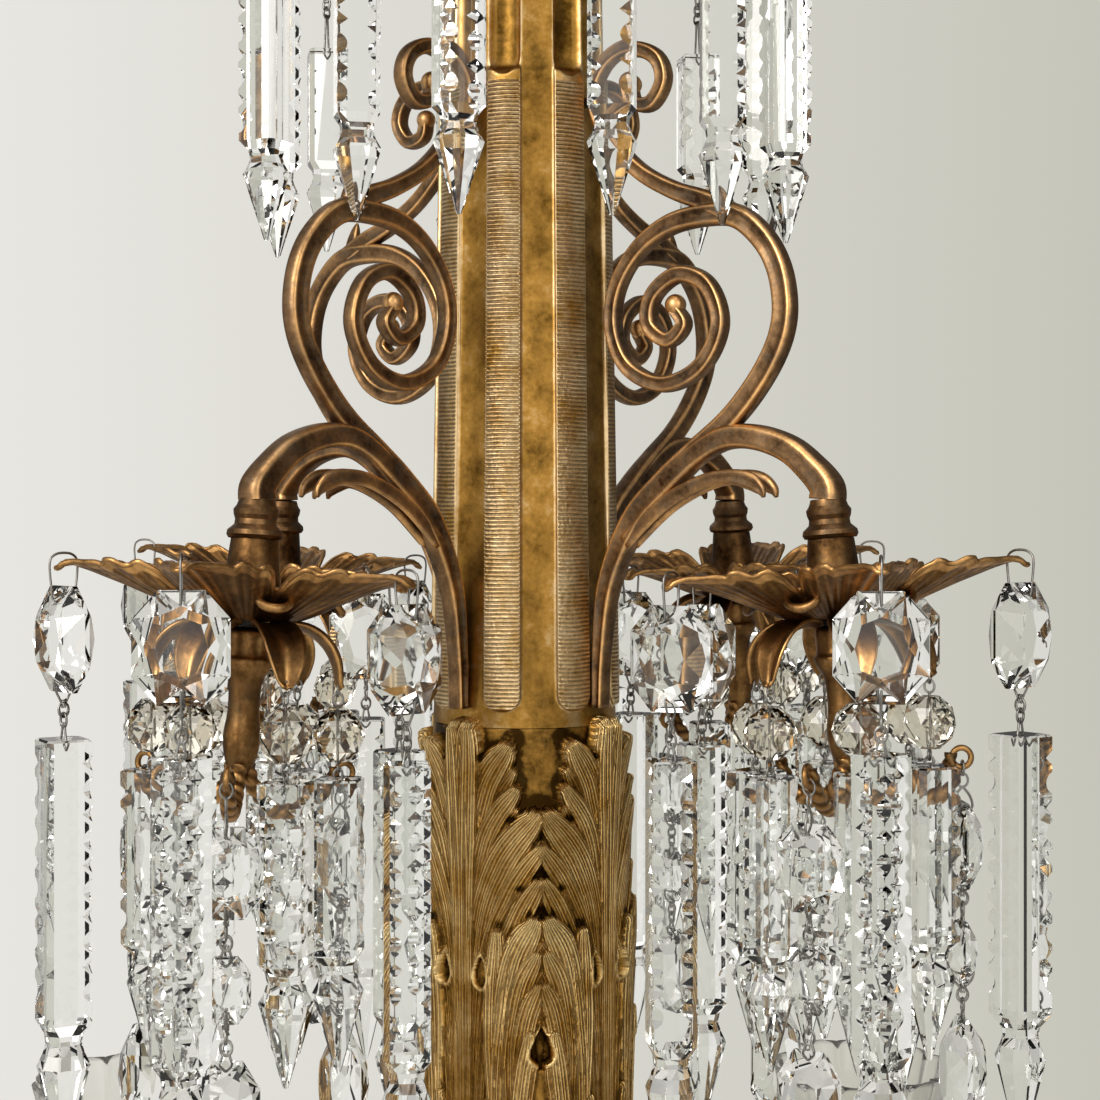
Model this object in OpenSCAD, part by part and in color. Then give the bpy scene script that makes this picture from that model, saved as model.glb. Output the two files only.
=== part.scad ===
// Crystal chandelier: a cabled column with an acanthus vase, four scroll brackets that each
// carry a leaf dish hung with cut glass, a crown of glass spears and four shaded lights.
// The origin is the centre of the hanging eye's bore, +Z is up, and sizes are millimetres.

/* [Hanging eye and swivel] */
// Bore of the hanging eye
eye_bore_d = 24; // [20:1:26]
// Width of the eye along its bore
eye_w = 9; // [8:0.5:10]
// Drop from the eye's centre to the swing pin
pin_drop = 42; // [41:0.5:46]
// Diameter of the swing pin
pin_d = 8; // [7:0.5:9]
// Diameter of the tie rod
rod_d = 10; // [9:0.5:11]

/* [Column] */
// Drop from the eye's centre to the column's top face
column_drop = 148; // [144:1:156]
// Length of the column
column_l = 357; // [350:1:364]
// Fillet radius of the column at its top
column_r_top = 31; // [30:0.25:32]
// Fillet radius of the column at its foot
column_r_foot = 36.5; // [36:0.25:37]
// Wall of the column between flutes
column_wall = 6; // [5.5:0.25:7]
// Length of the raised reeds, which leave the rest to hollow flutes
reed_l = 250; // [230:1:260]
// How far a reed stands out of the fillets
reed_rise = 2; // [1.5:0.25:2.5]
// Turn of the column and the vase against the brackets
column_turn = 4.5; // [-5:0.5:5]

/* [Crown] */
// Radius at which the crown spears hang
crown_r = 104; // [103:0.5:106]
// Length of a crown spear
crown_spear_l = 113.5; // [108:0.5:116]

/* [Brackets and dishes] */
// Radius of a dish's centre
dish_r = 144.5; // [144:0.5:146]
// Height of a dish's centre over the column's foot
dish_rise = 59.5; // [58:0.5:61]
// Tilt of a dish, outer side up
dish_tilt = 5; // [3:0.5:6]
// Radius at which the rim drops hang, from the dish's centre
rim_r = 64.5; // [63:0.5:66]
// Turn of the first leaf from the outward direction
leaf_turn = 28; // [24:1:32]
// Length of a rim spear
rim_spear_l = 144; // [124:1:146]
// Length of a bead spear
bead_spear_l = 102; // [90:1:106]

/* [Glass] */
// Width of an octagon
octagon_w = 31; // [29:0.5:32]
// Height of an octagon
octagon_h = 36.5; // [35:0.5:38]
// Side of a spear's square section
spear_w = 15.5; // [14.5:0.5:16.5]
// Thickness of the wire
wire_d = 0.9; // [0.8:0.05:1]

/* [Lights] */
// Radius of the lights from the column's axis
light_r = 250; // [240:5:260]
// Thickness of an arm
arm_d = 12; // [11:0.5:13]
// Bore of a lamp socket
socket_d = 14; // [13.5:0.25:14.5]

/* [Hidden] */
DISHES = ["right", "back", "left", "front"];
LEAVES = 5;
CROWN_DROPS = 12;

$fn = 48;
brass = "#b08a3e";
bronze = "#8a5a30";
steel = "#8c8f92";
glass = "#dfe8ec";

// Working clearances: between a wire and its hole, and between parts that only touch
wire_play = 0.3;
touch = 0.1;
fit = 0.05;

// Thickness of the tongue between the shackle's cheeks
tongue_t = 10;

// Tie rod, and the bore that clears it
rod_r = rod_d / 2;
rod_bore_r = rod_r + wire_play;
rod_top_z = -(pin_drop + 22);
boss_foot_z = -(pin_drop + 34);

// The column, and the heights that the brackets and dishes take from its foot
column_top_z = -column_drop;
column_foot_z = column_top_z - column_l;
reed_foot_z = column_foot_z + 6;
reed_top_z = reed_foot_z + reed_l;
dish_z = column_foot_z + dish_rise;
datum_z = column_foot_z + 85;
core_r = column_r_foot + 1;

// The parts under the column: their heights, and the thickness of the floors that the nuts clamp
vase_h = 279;
hub_h = 66;
bowl_h = 52;
finial_h = 60;
vase_foot_z = column_foot_z - vase_h;
hub_foot_z = vase_foot_z - hub_h;
bowl_foot_z = hub_foot_z - bowl_h;
vase_floor = 16;
hub_floor = 12;

// The arms leave the hub level, turn down by arm_turn and bend up to a short straight end
arm_tail = 3;
arm_z = vase_foot_z - 31;
hub_r = 38;
arm_start = 60;
arm_fall_r = 60;
arm_turn = 50;
arm_bend = (light_r - arm_start - arm_fall_r * sin(arm_turn)) / (1 + sin(arm_turn));
light_z = arm_z - arm_fall_r * (1 - cos(arm_turn)) + arm_bend * cos(arm_turn) + arm_tail;
gallery_floor = 4;
shade_h = 83;

// The wire ring that hangs each drop, and what hangs from it
ring_r = 6;
octagon_top = 8;
spear_top = octagon_top + octagon_h + 16;
crown_t = 10;
crown_ring_z = column_top_z + 4;
crown_angles = [for (k = [0:CROWN_DROPS - 1]) 30 * k - 2 + crown_shift(k)];
// The four drops above the brackets hang a little to one side, clear of the scrolls
function crown_shift(k) = k % 3 > 0 ? 0 : [-3.5, -3.5, 7.5, 7.5][k / 3];
// The two crown drops behind the back brackets have a short spear on a long wire
short_drops = [3, 6];
short_spear_l = 86;
short_spear_top = 81;

// Under a dish, from the dish's centre: its floor, the husk's disc and six petals, and the three
// twisted hooks between the petals with their end rings
dish_floor = 15.6;
husk_disc = 2.2;
husk_foot = 35;
petals = 6;
petal_turn = 13;
petal_tip_r = 32;
nipple_r = 5;
collar_foot = 14.2;
collar_top = 28;
hook_turn = petal_turn + 180 / petals;
hook_r = 17;
hook_w = 2.6;
hook_axis = [20, -62];
hook_ring_r = 3.4;
hook_ring_w = 1.2;
hook_ring = [hook_axis[0] + hook_r + hook_ring_r + touch, hook_axis[1] - 4];
reeds = 8;
screw_r = 2;

// A point of a dish, given in the dish's own tilted frame, in the chandelier's frame
function dish_point(i, p) = let(
        a = dish_tilt,
        x = dish_r + p[0] * cos(a) - p[2] * sin(a),
        z = dish_z + p[0] * sin(a) + p[2] * cos(a)
    ) [x * cos(90 * i) - p[1] * sin(90 * i), x * sin(90 * i) + p[1] * cos(90 * i), z];
function leaf_angle(k) = leaf_turn + 360 / LEAVES * k;
// A point on a dish's axis, h over its centre, as [radius, height over datum_z]
function dish_axis(h) = [dish_r - h * sin(dish_tilt), dish_z - datum_z + h * cos(dish_tilt)];
function rim_point(i, k) = dish_point(i, [
    rim_r * cos(leaf_angle(k)), rim_r * sin(leaf_angle(k)), 2]);

// A curve through the points p, with n steps between neighbours
function curve(p, n) = [
    for (i = [0:len(p) - 2], s = [0:n - 1]) blend(
        p[max(i - 1, 0)], p[i], p[i + 1], p[min(i + 2, len(p) - 1)], s / n),
    p[len(p) - 1]
];
function blend(a, b, c, d, t) =
    ((2 * b) + (c - a) * t + (2 * a - 5 * b + 4 * c - d) * t * t
        + (3 * b - a - 3 * c + d) * t * t * t) / 2;
function unit(v) = v / norm(v);

// Radius of the column's fillets at height z
function column_radius(z) = column_r_foot + (column_r_top - column_r_foot)
    * (z - column_foot_z) / (column_top_z - column_foot_z);

// A bar along a flat path of [x, z, width, thickness], with an oval section
module bar(path, sides = 8) {
    n = len(path);
    rings = [
        for (i = [0:n - 1])
            let(
                a = path[max(i - 1, 0)],
                b = path[min(i + 1, n - 1)],
                d = unit([b[0] - a[0], b[1] - a[1]])
            )
            for (s = [0:sides - 1])
                let(t = 360 / sides * (s + 0.5), w = path[i][2] / 2 * cos(t))
                [path[i][0] - d[1] * w, path[i][3] / 2 * sin(t), path[i][1] + d[0] * w]
    ];
    walls = [
        for (i = [0:n - 2], s = [0:sides - 1])
            let(t = (s + 1) % sides, lo = i * sides, hi = lo + sides)
            each [[lo + s, hi + t, hi + s], [lo + s, lo + t, hi + t]]
    ];
    ends = [
        [for (s = [0:sides - 1]) sides - 1 - s],
        [for (s = [0:sides - 1]) (n - 1) * sides + s]
    ];
    polyhedron(rings, concat(walls, ends));
}

module ring_profile(r, w) {
    translate([r, 0]) circle(r = w);
}

// A wire ring that stands in the X-Z plane
module wire_ring(w) {
    rotate([90, 0, 0]) rotate_extrude() ring_profile(ring_r, w);
}

module wire(top, length) {
    translate([0, 0, -top - length + touch]) cylinder(d = wire_d, h = length - 2 * touch);
}

// An outline in the X-Z plane, as a slab along Y
module slab(points, depth) {
    rotate([90, 0, 0]) linear_extrude(depth, center = true) polygon(points);
}

function mirrored(half) = concat(half, [
    for (i = [len(half) - 1:-1:0]) [-half[i][0], half[i][1]]]);

// A cut octagon that hangs below z = 0, with its flat faces towards +X and -X
module octagon(w, h) {
    outline = mirrored([[w * 0.22, 0], [w / 2, -h * 0.27], [w / 2, -h * 0.73], [w * 0.22, -h]]);
    side = mirrored([[1.6, 0], [h * 0.17, -h * 0.3], [h * 0.17, -h * 0.7], [1.6, -h]]);
    section = mirrored([[1.8, w / 2], [h * 0.16, w * 0.2], [h * 0.16, -w * 0.2], [1.8, -w / 2]]);
    intersection() {
        rotate([0, 0, 90]) slab(outline, w);
        slab(side, w + 1);
        translate([0, 0, -h - 1]) linear_extrude(h + 2) polygon(section);
    }
}

// A cut spear that hangs below z = 0: a square bar with trimmed ridges, a waist and a head
module spear(length, head) {
    f = spear_w / 2;
    neck = length - head;
    flats = mirrored([
        [3.5, 0], [f, -4], [f, -neck + 5], [f * 0.66, -neck], [f * 0.7, -neck - 3],
        [f * 1.02, -neck - 9], [0.4, -length]]);
    ridges = mirrored([
        [4.2, 0], [f * 1.3, -5], [f * 1.3, -neck + 6], [f * 0.72, -neck], [f * 0.76, -neck - 3],
        [f * 1.1, -neck - 9], [0.4, -length]]);
    intersection_for (a = [0, 90]) rotate([0, 0, a]) intersection() {
        rotate([0, 0, 45]) slab(flats, 40);
        slab(ridges, 40);
    }
}

// A drop that swings: a ring, an octagon and a spear with wire between them. It turns about
// the ring's centre.
module swing_drop(length, head, top = spear_top) {
    ring_foot = ring_r + wire_d / 2;
    color(steel) wire_ring(wire_d / 2);
    color(steel) wire(ring_foot, octagon_top - ring_foot);
    color(glass) translate([0, 0, -octagon_top]) octagon(octagon_w, octagon_h);
    color(steel) wire(octagon_top + octagon_h, top - octagon_top - octagon_h);
    color(glass) translate([0, 0, -top]) spear(length, head);
}

module turned(points) {
    rotate_extrude() polygon(points);
}

module at_dish(i) {
    rotate([0, 0, 90 * i]) translate([dish_r, 0, dish_z]) rotate([0, -dish_tilt, 0]) children();
}

module at_lights() {
    for (i = [0:3]) rotate([0, 0, 90 * i]) translate([light_r, 0, 0]) children();
}

// Hanging parts

// The upper half of the swivel: an eye over a yoke with two cheeks
module suspension_shackle() {
    cheek_w = 22;
    cheek_t = 5;
    yoke_foot = -(pin_drop - 13);
    eye_r = eye_bore_d / 2 + 8;
    neck_top = -(eye_bore_d / 2 + 3);
    color(steel) difference() {
        union() {
            rotate([90, 0, 0]) cylinder(r = eye_r, h = eye_w, center = true);
            translate([-8, -eye_w / 2, yoke_foot + 2]) cube([16, eye_w, neck_top - yoke_foot - 2]);
            translate([-tongue_t / 2 - cheek_t - 0.5, -cheek_w / 2, yoke_foot])
                cube([tongue_t + 2 * cheek_t + 1, cheek_w, 8]);
            for (s = [-1, 1]) translate([s * (tongue_t + cheek_t + 1) / 2, 0, 0]) {
                translate([-cheek_t / 2, -cheek_w / 2, -pin_drop]) cube([cheek_t, cheek_w, 14]);
                translate([0, 0, -pin_drop]) rotate([0, 90, 0])
                    cylinder(d = cheek_w, h = cheek_t, center = true);
            }
        }
        rotate([90, 0, 0]) cylinder(d = eye_bore_d, h = 2 * eye_r, center = true);
        translate([0, 0, -pin_drop]) rotate([0, 90, 0]) cylinder(d = pin_d, h = 40, center = true);
    }
}

module shackle_pin() {
    shank_r = pin_d / 2 - fit;
    color(steel) translate([0, 0, -pin_drop]) rotate([0, 90, 0]) {
        translate([0, 0, -16]) cylinder(r = shank_r, h = 27);
        translate([0, 0, 10.5]) cylinder(r = shank_r + 3, h = 4);
        translate([0, 0, -15.5]) cylinder(r = shank_r + 3.5, h = 5, $fn = 6);
    }
}

// The lower half: a tongue on a boss that the tie rod screws into
module top_eye() {
    color(brass) difference() {
        union() {
            translate([0, 0, -pin_drop]) rotate([0, 90, 0]) cylinder(r = 10, h = tongue_t, center = true);
            translate([-tongue_t / 2, -8, -pin_drop - 16]) cube([tongue_t, 16, 16]);
            translate([0, 0, boss_foot_z]) cylinder(r = 11, h = 20);
        }
        translate([0, 0, -pin_drop]) rotate([0, 90, 0]) cylinder(d = pin_d, h = 20, center = true);
        translate([0, 0, boss_foot_z - 1]) cylinder(r = rod_r + fit, h = rod_top_z - boss_foot_z + 1);
    }
}

module tie_rod() {
    color(steel) translate([0, 0, bowl_foot_z - 16])
        cylinder(r = rod_r, h = rod_top_z - bowl_foot_z + 16);
}

// Hexagon nuts that clamp the crown, the vase and the hub on the rod
module rod_nuts() {
    nut_h = 8;
    floors = [column_top_z - nut_h - 2 * touch, vase_foot_z + vase_floor, hub_foot_z + hub_floor];
    for (floor_z = floors)
        color(steel) translate([0, 0, floor_z + touch]) difference() {
            cylinder(r = rod_r + 4.5, h = nut_h, $fn = 6);
            translate([0, 0, -1]) cylinder(r = rod_r + fit, h = nut_h + 2);
        }
}

// Crown

// The heights of this bell are shares of the room between the boss and the crown dish
module crown_cap() {
    top = boss_foot_z;
    foot = column_top_z + crown_t;
    l = top - foot;
    color(brass) turned([
        [rod_bore_r, top], [13, top], [15, top - l * 0.06], [11, top - l * 0.13],
        [14, top - l * 0.23], [24, top - l * 0.42], [28, top - l * 0.61], [24, top - l * 0.77],
        [30, top - l * 0.87], [42, foot], [38, foot], [28, top - l * 0.9],
        [20, top - l * 0.79], [24, top - l * 0.61], [20, top - l * 0.44], [rod_bore_r, top - l * 0.23]]);
}

module crown_dish() {
    z = column_top_z;
    color(bronze) difference() {
        turned([
            [rod_bore_r, z], [36, z], [56, z + 7], [84, z + 3.6], [crown_r - 8, z + 2.8],
            [crown_r + 1.5, z + 3.4], [crown_r + 1.5, z + 4.6], [crown_r - 8, z + 5.2],
            [84, z + 8], [58, z + crown_t + 2], [42, z + crown_t], [rod_bore_r, z + crown_t]]);
        for (a = crown_angles)
            rotate([0, 0, a]) translate([crown_r, 0, crown_ring_z])
                wire_ring(wire_d / 2 + wire_play);
    }
}

// Column

module fluted_column() {
    length = column_top_z - column_foot_z;
    lean = atan((column_r_foot - column_r_top) / length);
    reed_r = 14;
    flute_r = 9;
    flute_depth = 3.5;
    color(brass) difference() {
        union() {
            translate([0, 0, column_foot_z]) cylinder(r1 = column_r_foot, r2 = column_r_top, h = length);
            turned([
                [20, column_top_z - 26], [column_r_top + 2, column_top_z - 26],
                [column_r_top + 4, column_top_z - 22], [column_r_top + 2, column_top_z - 18],
                [column_r_top + 5, column_top_z - 8], [column_r_top + 8, column_top_z],
                [20, column_top_z]]);
            for (k = [0:reeds - 1]) rotate([0, 0, 360 / reeds * (k + 0.5) + column_turn])
                translate([column_r_foot - reed_r + reed_rise, 0, column_foot_z])
                    rotate([0, -lean, 0]) {
                        translate([0, 0, reed_foot_z + reed_r - column_foot_z])
                            cylinder(r = reed_r, h = reed_top_z - reed_foot_z - reed_r);
                        translate([0, 0, reed_foot_z + reed_r - column_foot_z]) sphere(r = reed_r);
                    }
        }
        for (k = [0:reeds - 1]) rotate([0, 0, 360 / reeds * (k + 0.5) + column_turn])
            translate([column_r_foot + flute_r - flute_depth, 0, column_foot_z])
                rotate([0, -lean, 0]) translate([0, 0, reed_top_z - column_foot_z + 3]) {
                    cylinder(r = flute_r, h = column_top_z - 30 - reed_top_z);
                    sphere(r = flute_r);
                }
        translate([0, 0, column_foot_z - 1])
            cylinder(r1 = column_r_foot - column_wall, r2 = column_r_top - column_wall, h = length + 2);
        for (i = [0:3]) bracket_holes(i);
    }
}

module leaf_slab(w, top, foot) {
    l = top - foot;
    slab(mirrored([
        [2, top], [w * 0.26, top - l * 0.06], [w * 0.36, top - l * 0.18], [w * 0.32, top - l * 0.24],
        [w * 0.5, top - l * 0.36], [w * 0.44, top - l * 0.44], [w * 0.5, top - l * 0.58],
        [w * 0.4, top - l * 0.8], [w * 0.3, foot]]), 60);
}

module acanthus_vase() {
    top = column_foot_z;
    foot = vase_foot_z;
    color(brass) difference() {
        union() {
            turned([
                [rod_bore_r, top], [column_r_foot, top], [core_r, top - 30], [core_r + 0.5, top - 190],
                [core_r - 3.5, top - 218], [26, top - 236], [24, foot + 33], [hub_r - 2, foot + 27],
                [hub_r + 4, foot + 19], [hub_r, foot + 11], [hub_r + 6, foot + 5], [hub_r + 6, foot],
                [rod_bore_r, foot]]);
            for (k = [0:7]) rotate([0, 0, 45 * k + 22.5 + column_turn]) intersection() {
                turned([
                    [core_r - 1.5, top - 132], [core_r + 3.5, top - 130], [core_r + 5, top - 60],
                    [core_r + 6.5, top - 24], [core_r + 7, top - 12], [core_r + 4.5, top - 6],
                    [core_r + 1.5, top - 12], [core_r - 1.5, top - 24]]);
                translate([core_r, 0, 0]) rotate([0, 0, 90]) leaf_slab(28, top - 6, top - 134);
            }
            for (k = [0:7]) rotate([0, 0, 45 * k + column_turn]) intersection() {
                turned([
                    [core_r - 1.5, top - 204], [core_r + 1.5, top - 200], [core_r + 5.5, top - 140],
                    [core_r + 7.5, top - 86], [core_r + 6, top - 78], [core_r + 3.5, top - 80],
                    [core_r - 1.5, top - 100]]);
                translate([core_r, 0, 0]) rotate([0, 0, 90]) leaf_slab(29, top - 76, top - 206);
            }
        }
        turned([
            [rod_bore_r - 1, top - 6], [core_r - 7.5, top - 6], [core_r - 4.5, top - 30],
            [core_r - 4.5, top - 190], [core_r - 9.5, top - 216], [20, top - 236],
            [18, foot + 33], [26, foot + vase_floor],
            [rod_bore_r - 1, foot + vase_floor]]);
    }
}

// Brackets: each path lies in the bracket's own plane, as [radius, height over datum_z,
// width, thickness]

shoulder_r = column_radius(datum_z + 158) + 4;
scroll = [
    [core_r + 1.5, -78, 5, 8], [core_r + 2.1, -56, 6.5, 8], [core_r + 6, -30, 8.5, 9],
    [55.5, -6, 10, 10], [70.5, 8.5, 10.5, 10],
    [85, 20, 10, 9], [98, 30, 9, 8], [108, 39.5, 9, 8], [117, 51, 9, 8], [122.5, 62, 9, 8],
    [124, 73, 9, 8], [121.5, 86, 9, 8], [115, 97, 9, 8], [104, 106, 9, 8], [91, 108, 8.5, 8],
    [73, 106, 8, 7.5], [58, 98, 7, 7], [47.5, 84, 6.5, 7], [45.5, 68, 6.5, 7], [53, 53, 6.5, 7],
    [70, 46, 6.5, 7], [87, 52, 6.5, 7], [95.5, 67, 6.5, 7], [90, 82, 6.5, 7], [77, 87, 6.5, 7],
    [65, 80, 6.5, 7], [63, 69, 6.5, 7], [72, 62.5, 6, 7], [79, 68, 5.5, 7], [75, 74, 5, 7]
];
top_branch = [
    [104, 106, 8, 7], [90, 113, 8, 7], [74, 119, 7, 7], [58, 128, 6.5, 7], [44, 142, 6.5, 7],
    [shoulder_r, 158, 6.5, 7], [43, 170, 6, 7], [55, 174.5, 6, 7], [66, 170, 6, 7], [69.5, 161, 6, 7],
    [64, 153, 6, 7], [56, 154, 5.5, 7], [54, 160, 5, 7]
];
// The arm that carries a dish runs down onto the dish's axis and ends on its collar
arm_path = [
    [70.5, 8.3, 8, 8], [85, 19, 8.6, 9], [98, 25, 9, 9.5], [dish_r - 32.5, 25, 9.4, 10],
    [dish_r - 18.5, 20.5, 10, 10.4], [dish_r - 8.5, 13, 10.8, 11],
    concat(dish_axis(collar_top + 4.5), [11.6, 11.6])
];
arm_end = concat(dish_axis(collar_top + touch), [12, 12]);
sprig = [
    [53, -14, 6, 3.5], [71, 0.5, 6, 3.5], [90, 9, 5.2, 3.4], [105, 10.5, 4.2, 3.2], [115.5, 5, 2, 2.6]
];
sprout = [[99, 106, 7, 5.6], [97.5, 114, 6, 5.4], [95.3, 122, 4.5, 4.8]];
scroll_balls = [[75, 75.6, 4.1], [54.2, 161, 4]];
screw_heights = [-62, 157];

module bracket_holes(i) {
    rotate([0, 0, 90 * i]) for (h = screw_heights)
        translate([20, 0, datum_z + h]) rotate([0, 90, 0]) cylinder(r = screw_r + 0.25, h = 30, $fn = 24);
}

module bracket(i) {
    color(bronze) difference() {
        rotate([0, 0, 90 * i]) translate([0, 0, datum_z]) {
            bar(curve(scroll, 2));
            bar(curve(top_branch, 2));
            bar(concat(curve(arm_path, 2), [arm_end]));
            for (s = [-1, 1]) translate([0, s * 2.9, 0]) bar(curve(sprig, 2));
            for (p = scroll_balls) translate([p[0], 0, p[1]]) sphere(r = p[2]);
            bar(sprout);
        }
        bracket_holes(i);
    }
}

// Screws from inside the column into the brackets' feet and shoulders
module bracket_screws() {
    for (i = [0:3]) rotate([0, 0, 90 * i]) for (h = screw_heights)
        color(steel) let(seat = column_radius(datum_z + h) - column_wall - wire_play)
            translate([seat - 3, 0, datum_z + h]) rotate([0, 90, 0]) {
                cylinder(r = screw_r, h = column_wall + 7);
                cylinder(r = 3.6, h = 3);
            }
}

// Turned collars at the arms' ends
module arm_collars() {
    foot = collar_foot;
    for (i = [0:3]) color(bronze) at_dish(i) difference() {
        turned([
            [0, foot], [9.2, foot], [9.9, foot + 1.2], [9.6, foot + 2.8], [7.4, foot + 4.8],
            [7.2, foot + 6.6], [7.8, foot + 8.2], [8, foot + 10], [7, foot + 11.4], [6.2, collar_top],
            [0, collar_top]]);
        translate([0, 0, foot - 1]) cylinder(r = nipple_r, h = 11);
    }
}

// Threaded tubes that hold the collar, the dish, the husk and the hooks together
module dish_nipples() {
    foot = husk_foot - 10;
    for (i = [0:3]) color(steel) at_dish(i) translate([0, 0, -foot])
        cylinder(r = nipple_r - fit, h = foot + collar_foot + 9.8);
}

// Outline of a five-leaf rosette with lobed edges
function rosette() = [
    for (k = [0:LEAVES - 1])
        for (p = [[-36, 27], [-25, 41], [-20, 40], [-13, 52], [-8, 52], [-2.6, 64.5],
                  [2.6, 64.5], [8, 52], [13, 52], [20, 40], [25, 41]])
            let(a = leaf_angle(k) + p[0]) [p[1] * cos(a), p[1] * sin(a)]
];

// Rosettes of leaves, drawn down to a floor round the neck that meets the collar
module drop_dishes() {
    bore_r = nipple_r + 0.2;
    floor_t = 2.8;
    for (i = [0:3]) color(bronze) difference() {
        at_dish(i) {
            intersection() {
                turned([
                    [bore_r, -dish_floor], [18, -dish_floor], [36, -8.8], [54, -1.4], [67, 1.6],
                    [67, 3], [54, 1], [36, -6.2], [18, -dish_floor + floor_t],
                    [bore_r, -dish_floor + floor_t]]);
                translate([0, 0, -20]) linear_extrude(30) polygon(rosette());
            }
            turned([
                [bore_r, collar_foot - 0.2], [8.2, collar_foot - 0.2], [8.8, 8], [9.4, 2], [10.8, -6],
                [13.6, -dish_floor + 1.8], [13, -dish_floor + 1], [bore_r, -dish_floor + 1]]);
        }
        for (k = [0:LEAVES - 1]) at_rim(i, k) wire_ring(wire_d / 2 + wire_play);
    }
}

module at_rim(i, k) {
    translate(rim_point(i, k)) rotate([0, 0, 90 * i + leaf_angle(k)]) children();
}

module at_petals(i) {
    for (k = [0:petals - 1]) rotate([0, 0, petal_turn + 360 / petals * k]) children();
}

// Flower cups under the dishes, with six petals that curve down and out
module petal_husks() {
    bore_r = nipple_r + 0.2;
    top = -dish_floor - 0.2;
    foot = -husk_foot;
    for (i = [0:3]) color(bronze) at_dish(i) difference() {
        turned([
            [bore_r, top], [15, top], [23, top - 2.4], [petal_tip_r - 3.6, top - 7.4],
            [petal_tip_r - 1, foot + 6], [petal_tip_r + 1.2, foot], [petal_tip_r - 1.2, foot],
            [petal_tip_r - 3.4, foot + 6.6], [petal_tip_r - 6.4, top - 8.6], [21.5, top - 4.6],
            [14, top - husk_disc], [bore_r, top - husk_disc]]);
        at_petals(i) rotate([0, 0, 180 / petals]) translate([22, 0, 0]) rotate([0, 0, 90]) slab([
            [-1, top - 3.4], [-5, top - 7], [-8, foot + 5], [-13, foot - 1],
            [13, foot - 1], [8, foot + 5], [5, top - 7], [1, top - 3.4]], 30);
    }
}

// Three hooks on a hub nut; each ends in a ring that holds a centre drop
module twisted_hooks() {
    cup_top = -(dish_floor + husk_disc + 0.3);
    cup_floor = -husk_foot + 9;
    for (i = [0:3]) color(bronze) at_dish(i) {
        turned([
            [0, cup_floor], [8, cup_floor], [9, cup_floor - 3], [6.5, cup_floor - 7],
            [5.5, cup_floor - 14], [6, hook_axis[1] + 4], [4, hook_axis[1] - 4], [0, hook_axis[1] - 5]]);
        translate([0, 0, cup_floor - 1]) difference() {
            cylinder(r = nipple_r + 3, h = cup_top - cup_floor + 1);
            translate([0, 0, 1]) cylinder(r = nipple_r, h = 20);
        }
        for (k = [0:2]) rotate([0, 0, hook_turn + 120 * k]) {
            translate([hook_axis[0], 0, hook_axis[1]]) rotate([90, 0, 0])
                rotate_extrude(angle = 170, start = 185) ring_profile(hook_r, hook_w);
            translate([hook_ring[0], 0, hook_ring[1]]) rotate([90, 0, 0])
                rotate_extrude() ring_profile(hook_ring_r, hook_ring_w);
        }
    }
}

// Six bead drops under each dish: a bead and a short spear on wire
module bead_drops() {
    bead_r = 9.5;
    bead_h = 18;
    bead_top = 8;
    bead_wire = 6;
    for (i = [0:3]) for (k = [0:petals - 1]) let(a = petal_turn + 360 / petals * k)
        translate(dish_point(i, [petal_tip_r * cos(a), petal_tip_r * sin(a), -husk_foot]))
            rotate([0, 0, 90 * i + a]) {
                color(steel) wire(0, bead_top);
                color(glass) translate([0, 0, -bead_top - bead_h / 2]) turned([
                    [0, -bead_h / 2], [4.5, -bead_h / 2], [bead_r, -3], [bead_r, 3],
                    [4.5, bead_h / 2], [0, bead_h / 2]]);
                color(steel) wire(bead_top + bead_h, bead_wire);
                color(glass) translate([0, 0, -bead_top - bead_h - bead_wire])
                    spear(bead_spear_l, 42);
            }
}

// Three centre drops under each dish: an octagon, a small octagon and a pendant
module centre_drops() {
    ring_foot = hook_ring[1] - hook_ring_r - hook_ring_w;
    for (i = [0:3]) for (k = [0:2]) let(a = hook_turn + 120 * k)
        translate(dish_point(i, [hook_ring[0] * cos(a), hook_ring[0] * sin(a), ring_foot]))
            rotate([0, 0, 90 * i + a]) {
                color(steel) wire(0, 11);
                color(glass) translate([0, 0, -11]) octagon(24, 30);
                color(steel) wire(41, 12);
                color(glass) translate([0, 0, -53]) octagon(16, 22);
                color(steel) wire(75, 12);
                color(glass) translate([0, 0, -87]) octagon(22, 37);
            }
}

module crown_drop(k) {
    short = len(search(k, short_drops)) > 0;
    swing_drop(short ? short_spear_l : crown_spear_l, 38, short ? short_spear_top : spear_top);
}

// Lower tier

module arm_hub() {
    color(brass) difference() {
        turned([
            [rod_bore_r, vase_foot_z], [hub_r - 8, vase_foot_z], [hub_r - 2, vase_foot_z - 8],
            [hub_r, vase_foot_z - 20], [hub_r, hub_foot_z + 22], [hub_r - 4, hub_foot_z + 10],
            [hub_r - 8, hub_foot_z], [rod_bore_r, hub_foot_z]]);
        turned([
            [0, vase_foot_z - 10], [hub_r - 12, vase_foot_z - 10],
            [hub_r - 12, hub_foot_z + hub_floor], [0, hub_foot_z + hub_floor]]);
        for (i = [0:3]) rotate([0, 0, 90 * i]) translate([hub_r - 18, 0, arm_z]) rotate([0, 90, 0])
            cylinder(d = arm_d + 2 * fit, h = 30);
    }
}

module bottom_bowl() {
    top = hub_foot_z;
    foot = bowl_foot_z;
    color(brass) turned([
        [rod_bore_r, top], [hub_r + 2, top], [hub_r + 6, top - 4], [hub_r + 2, top - 10],
        [hub_r + 5, top - 20], [hub_r, foot + 16], [24, foot], [rod_bore_r, foot],
        [rod_bore_r, foot + 3], [22, foot + 3], [hub_r - 3, foot + 16], [hub_r + 2, top - 20],
        [hub_r - 2, top - 8], [rod_bore_r, top - 4]]);
}

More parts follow.
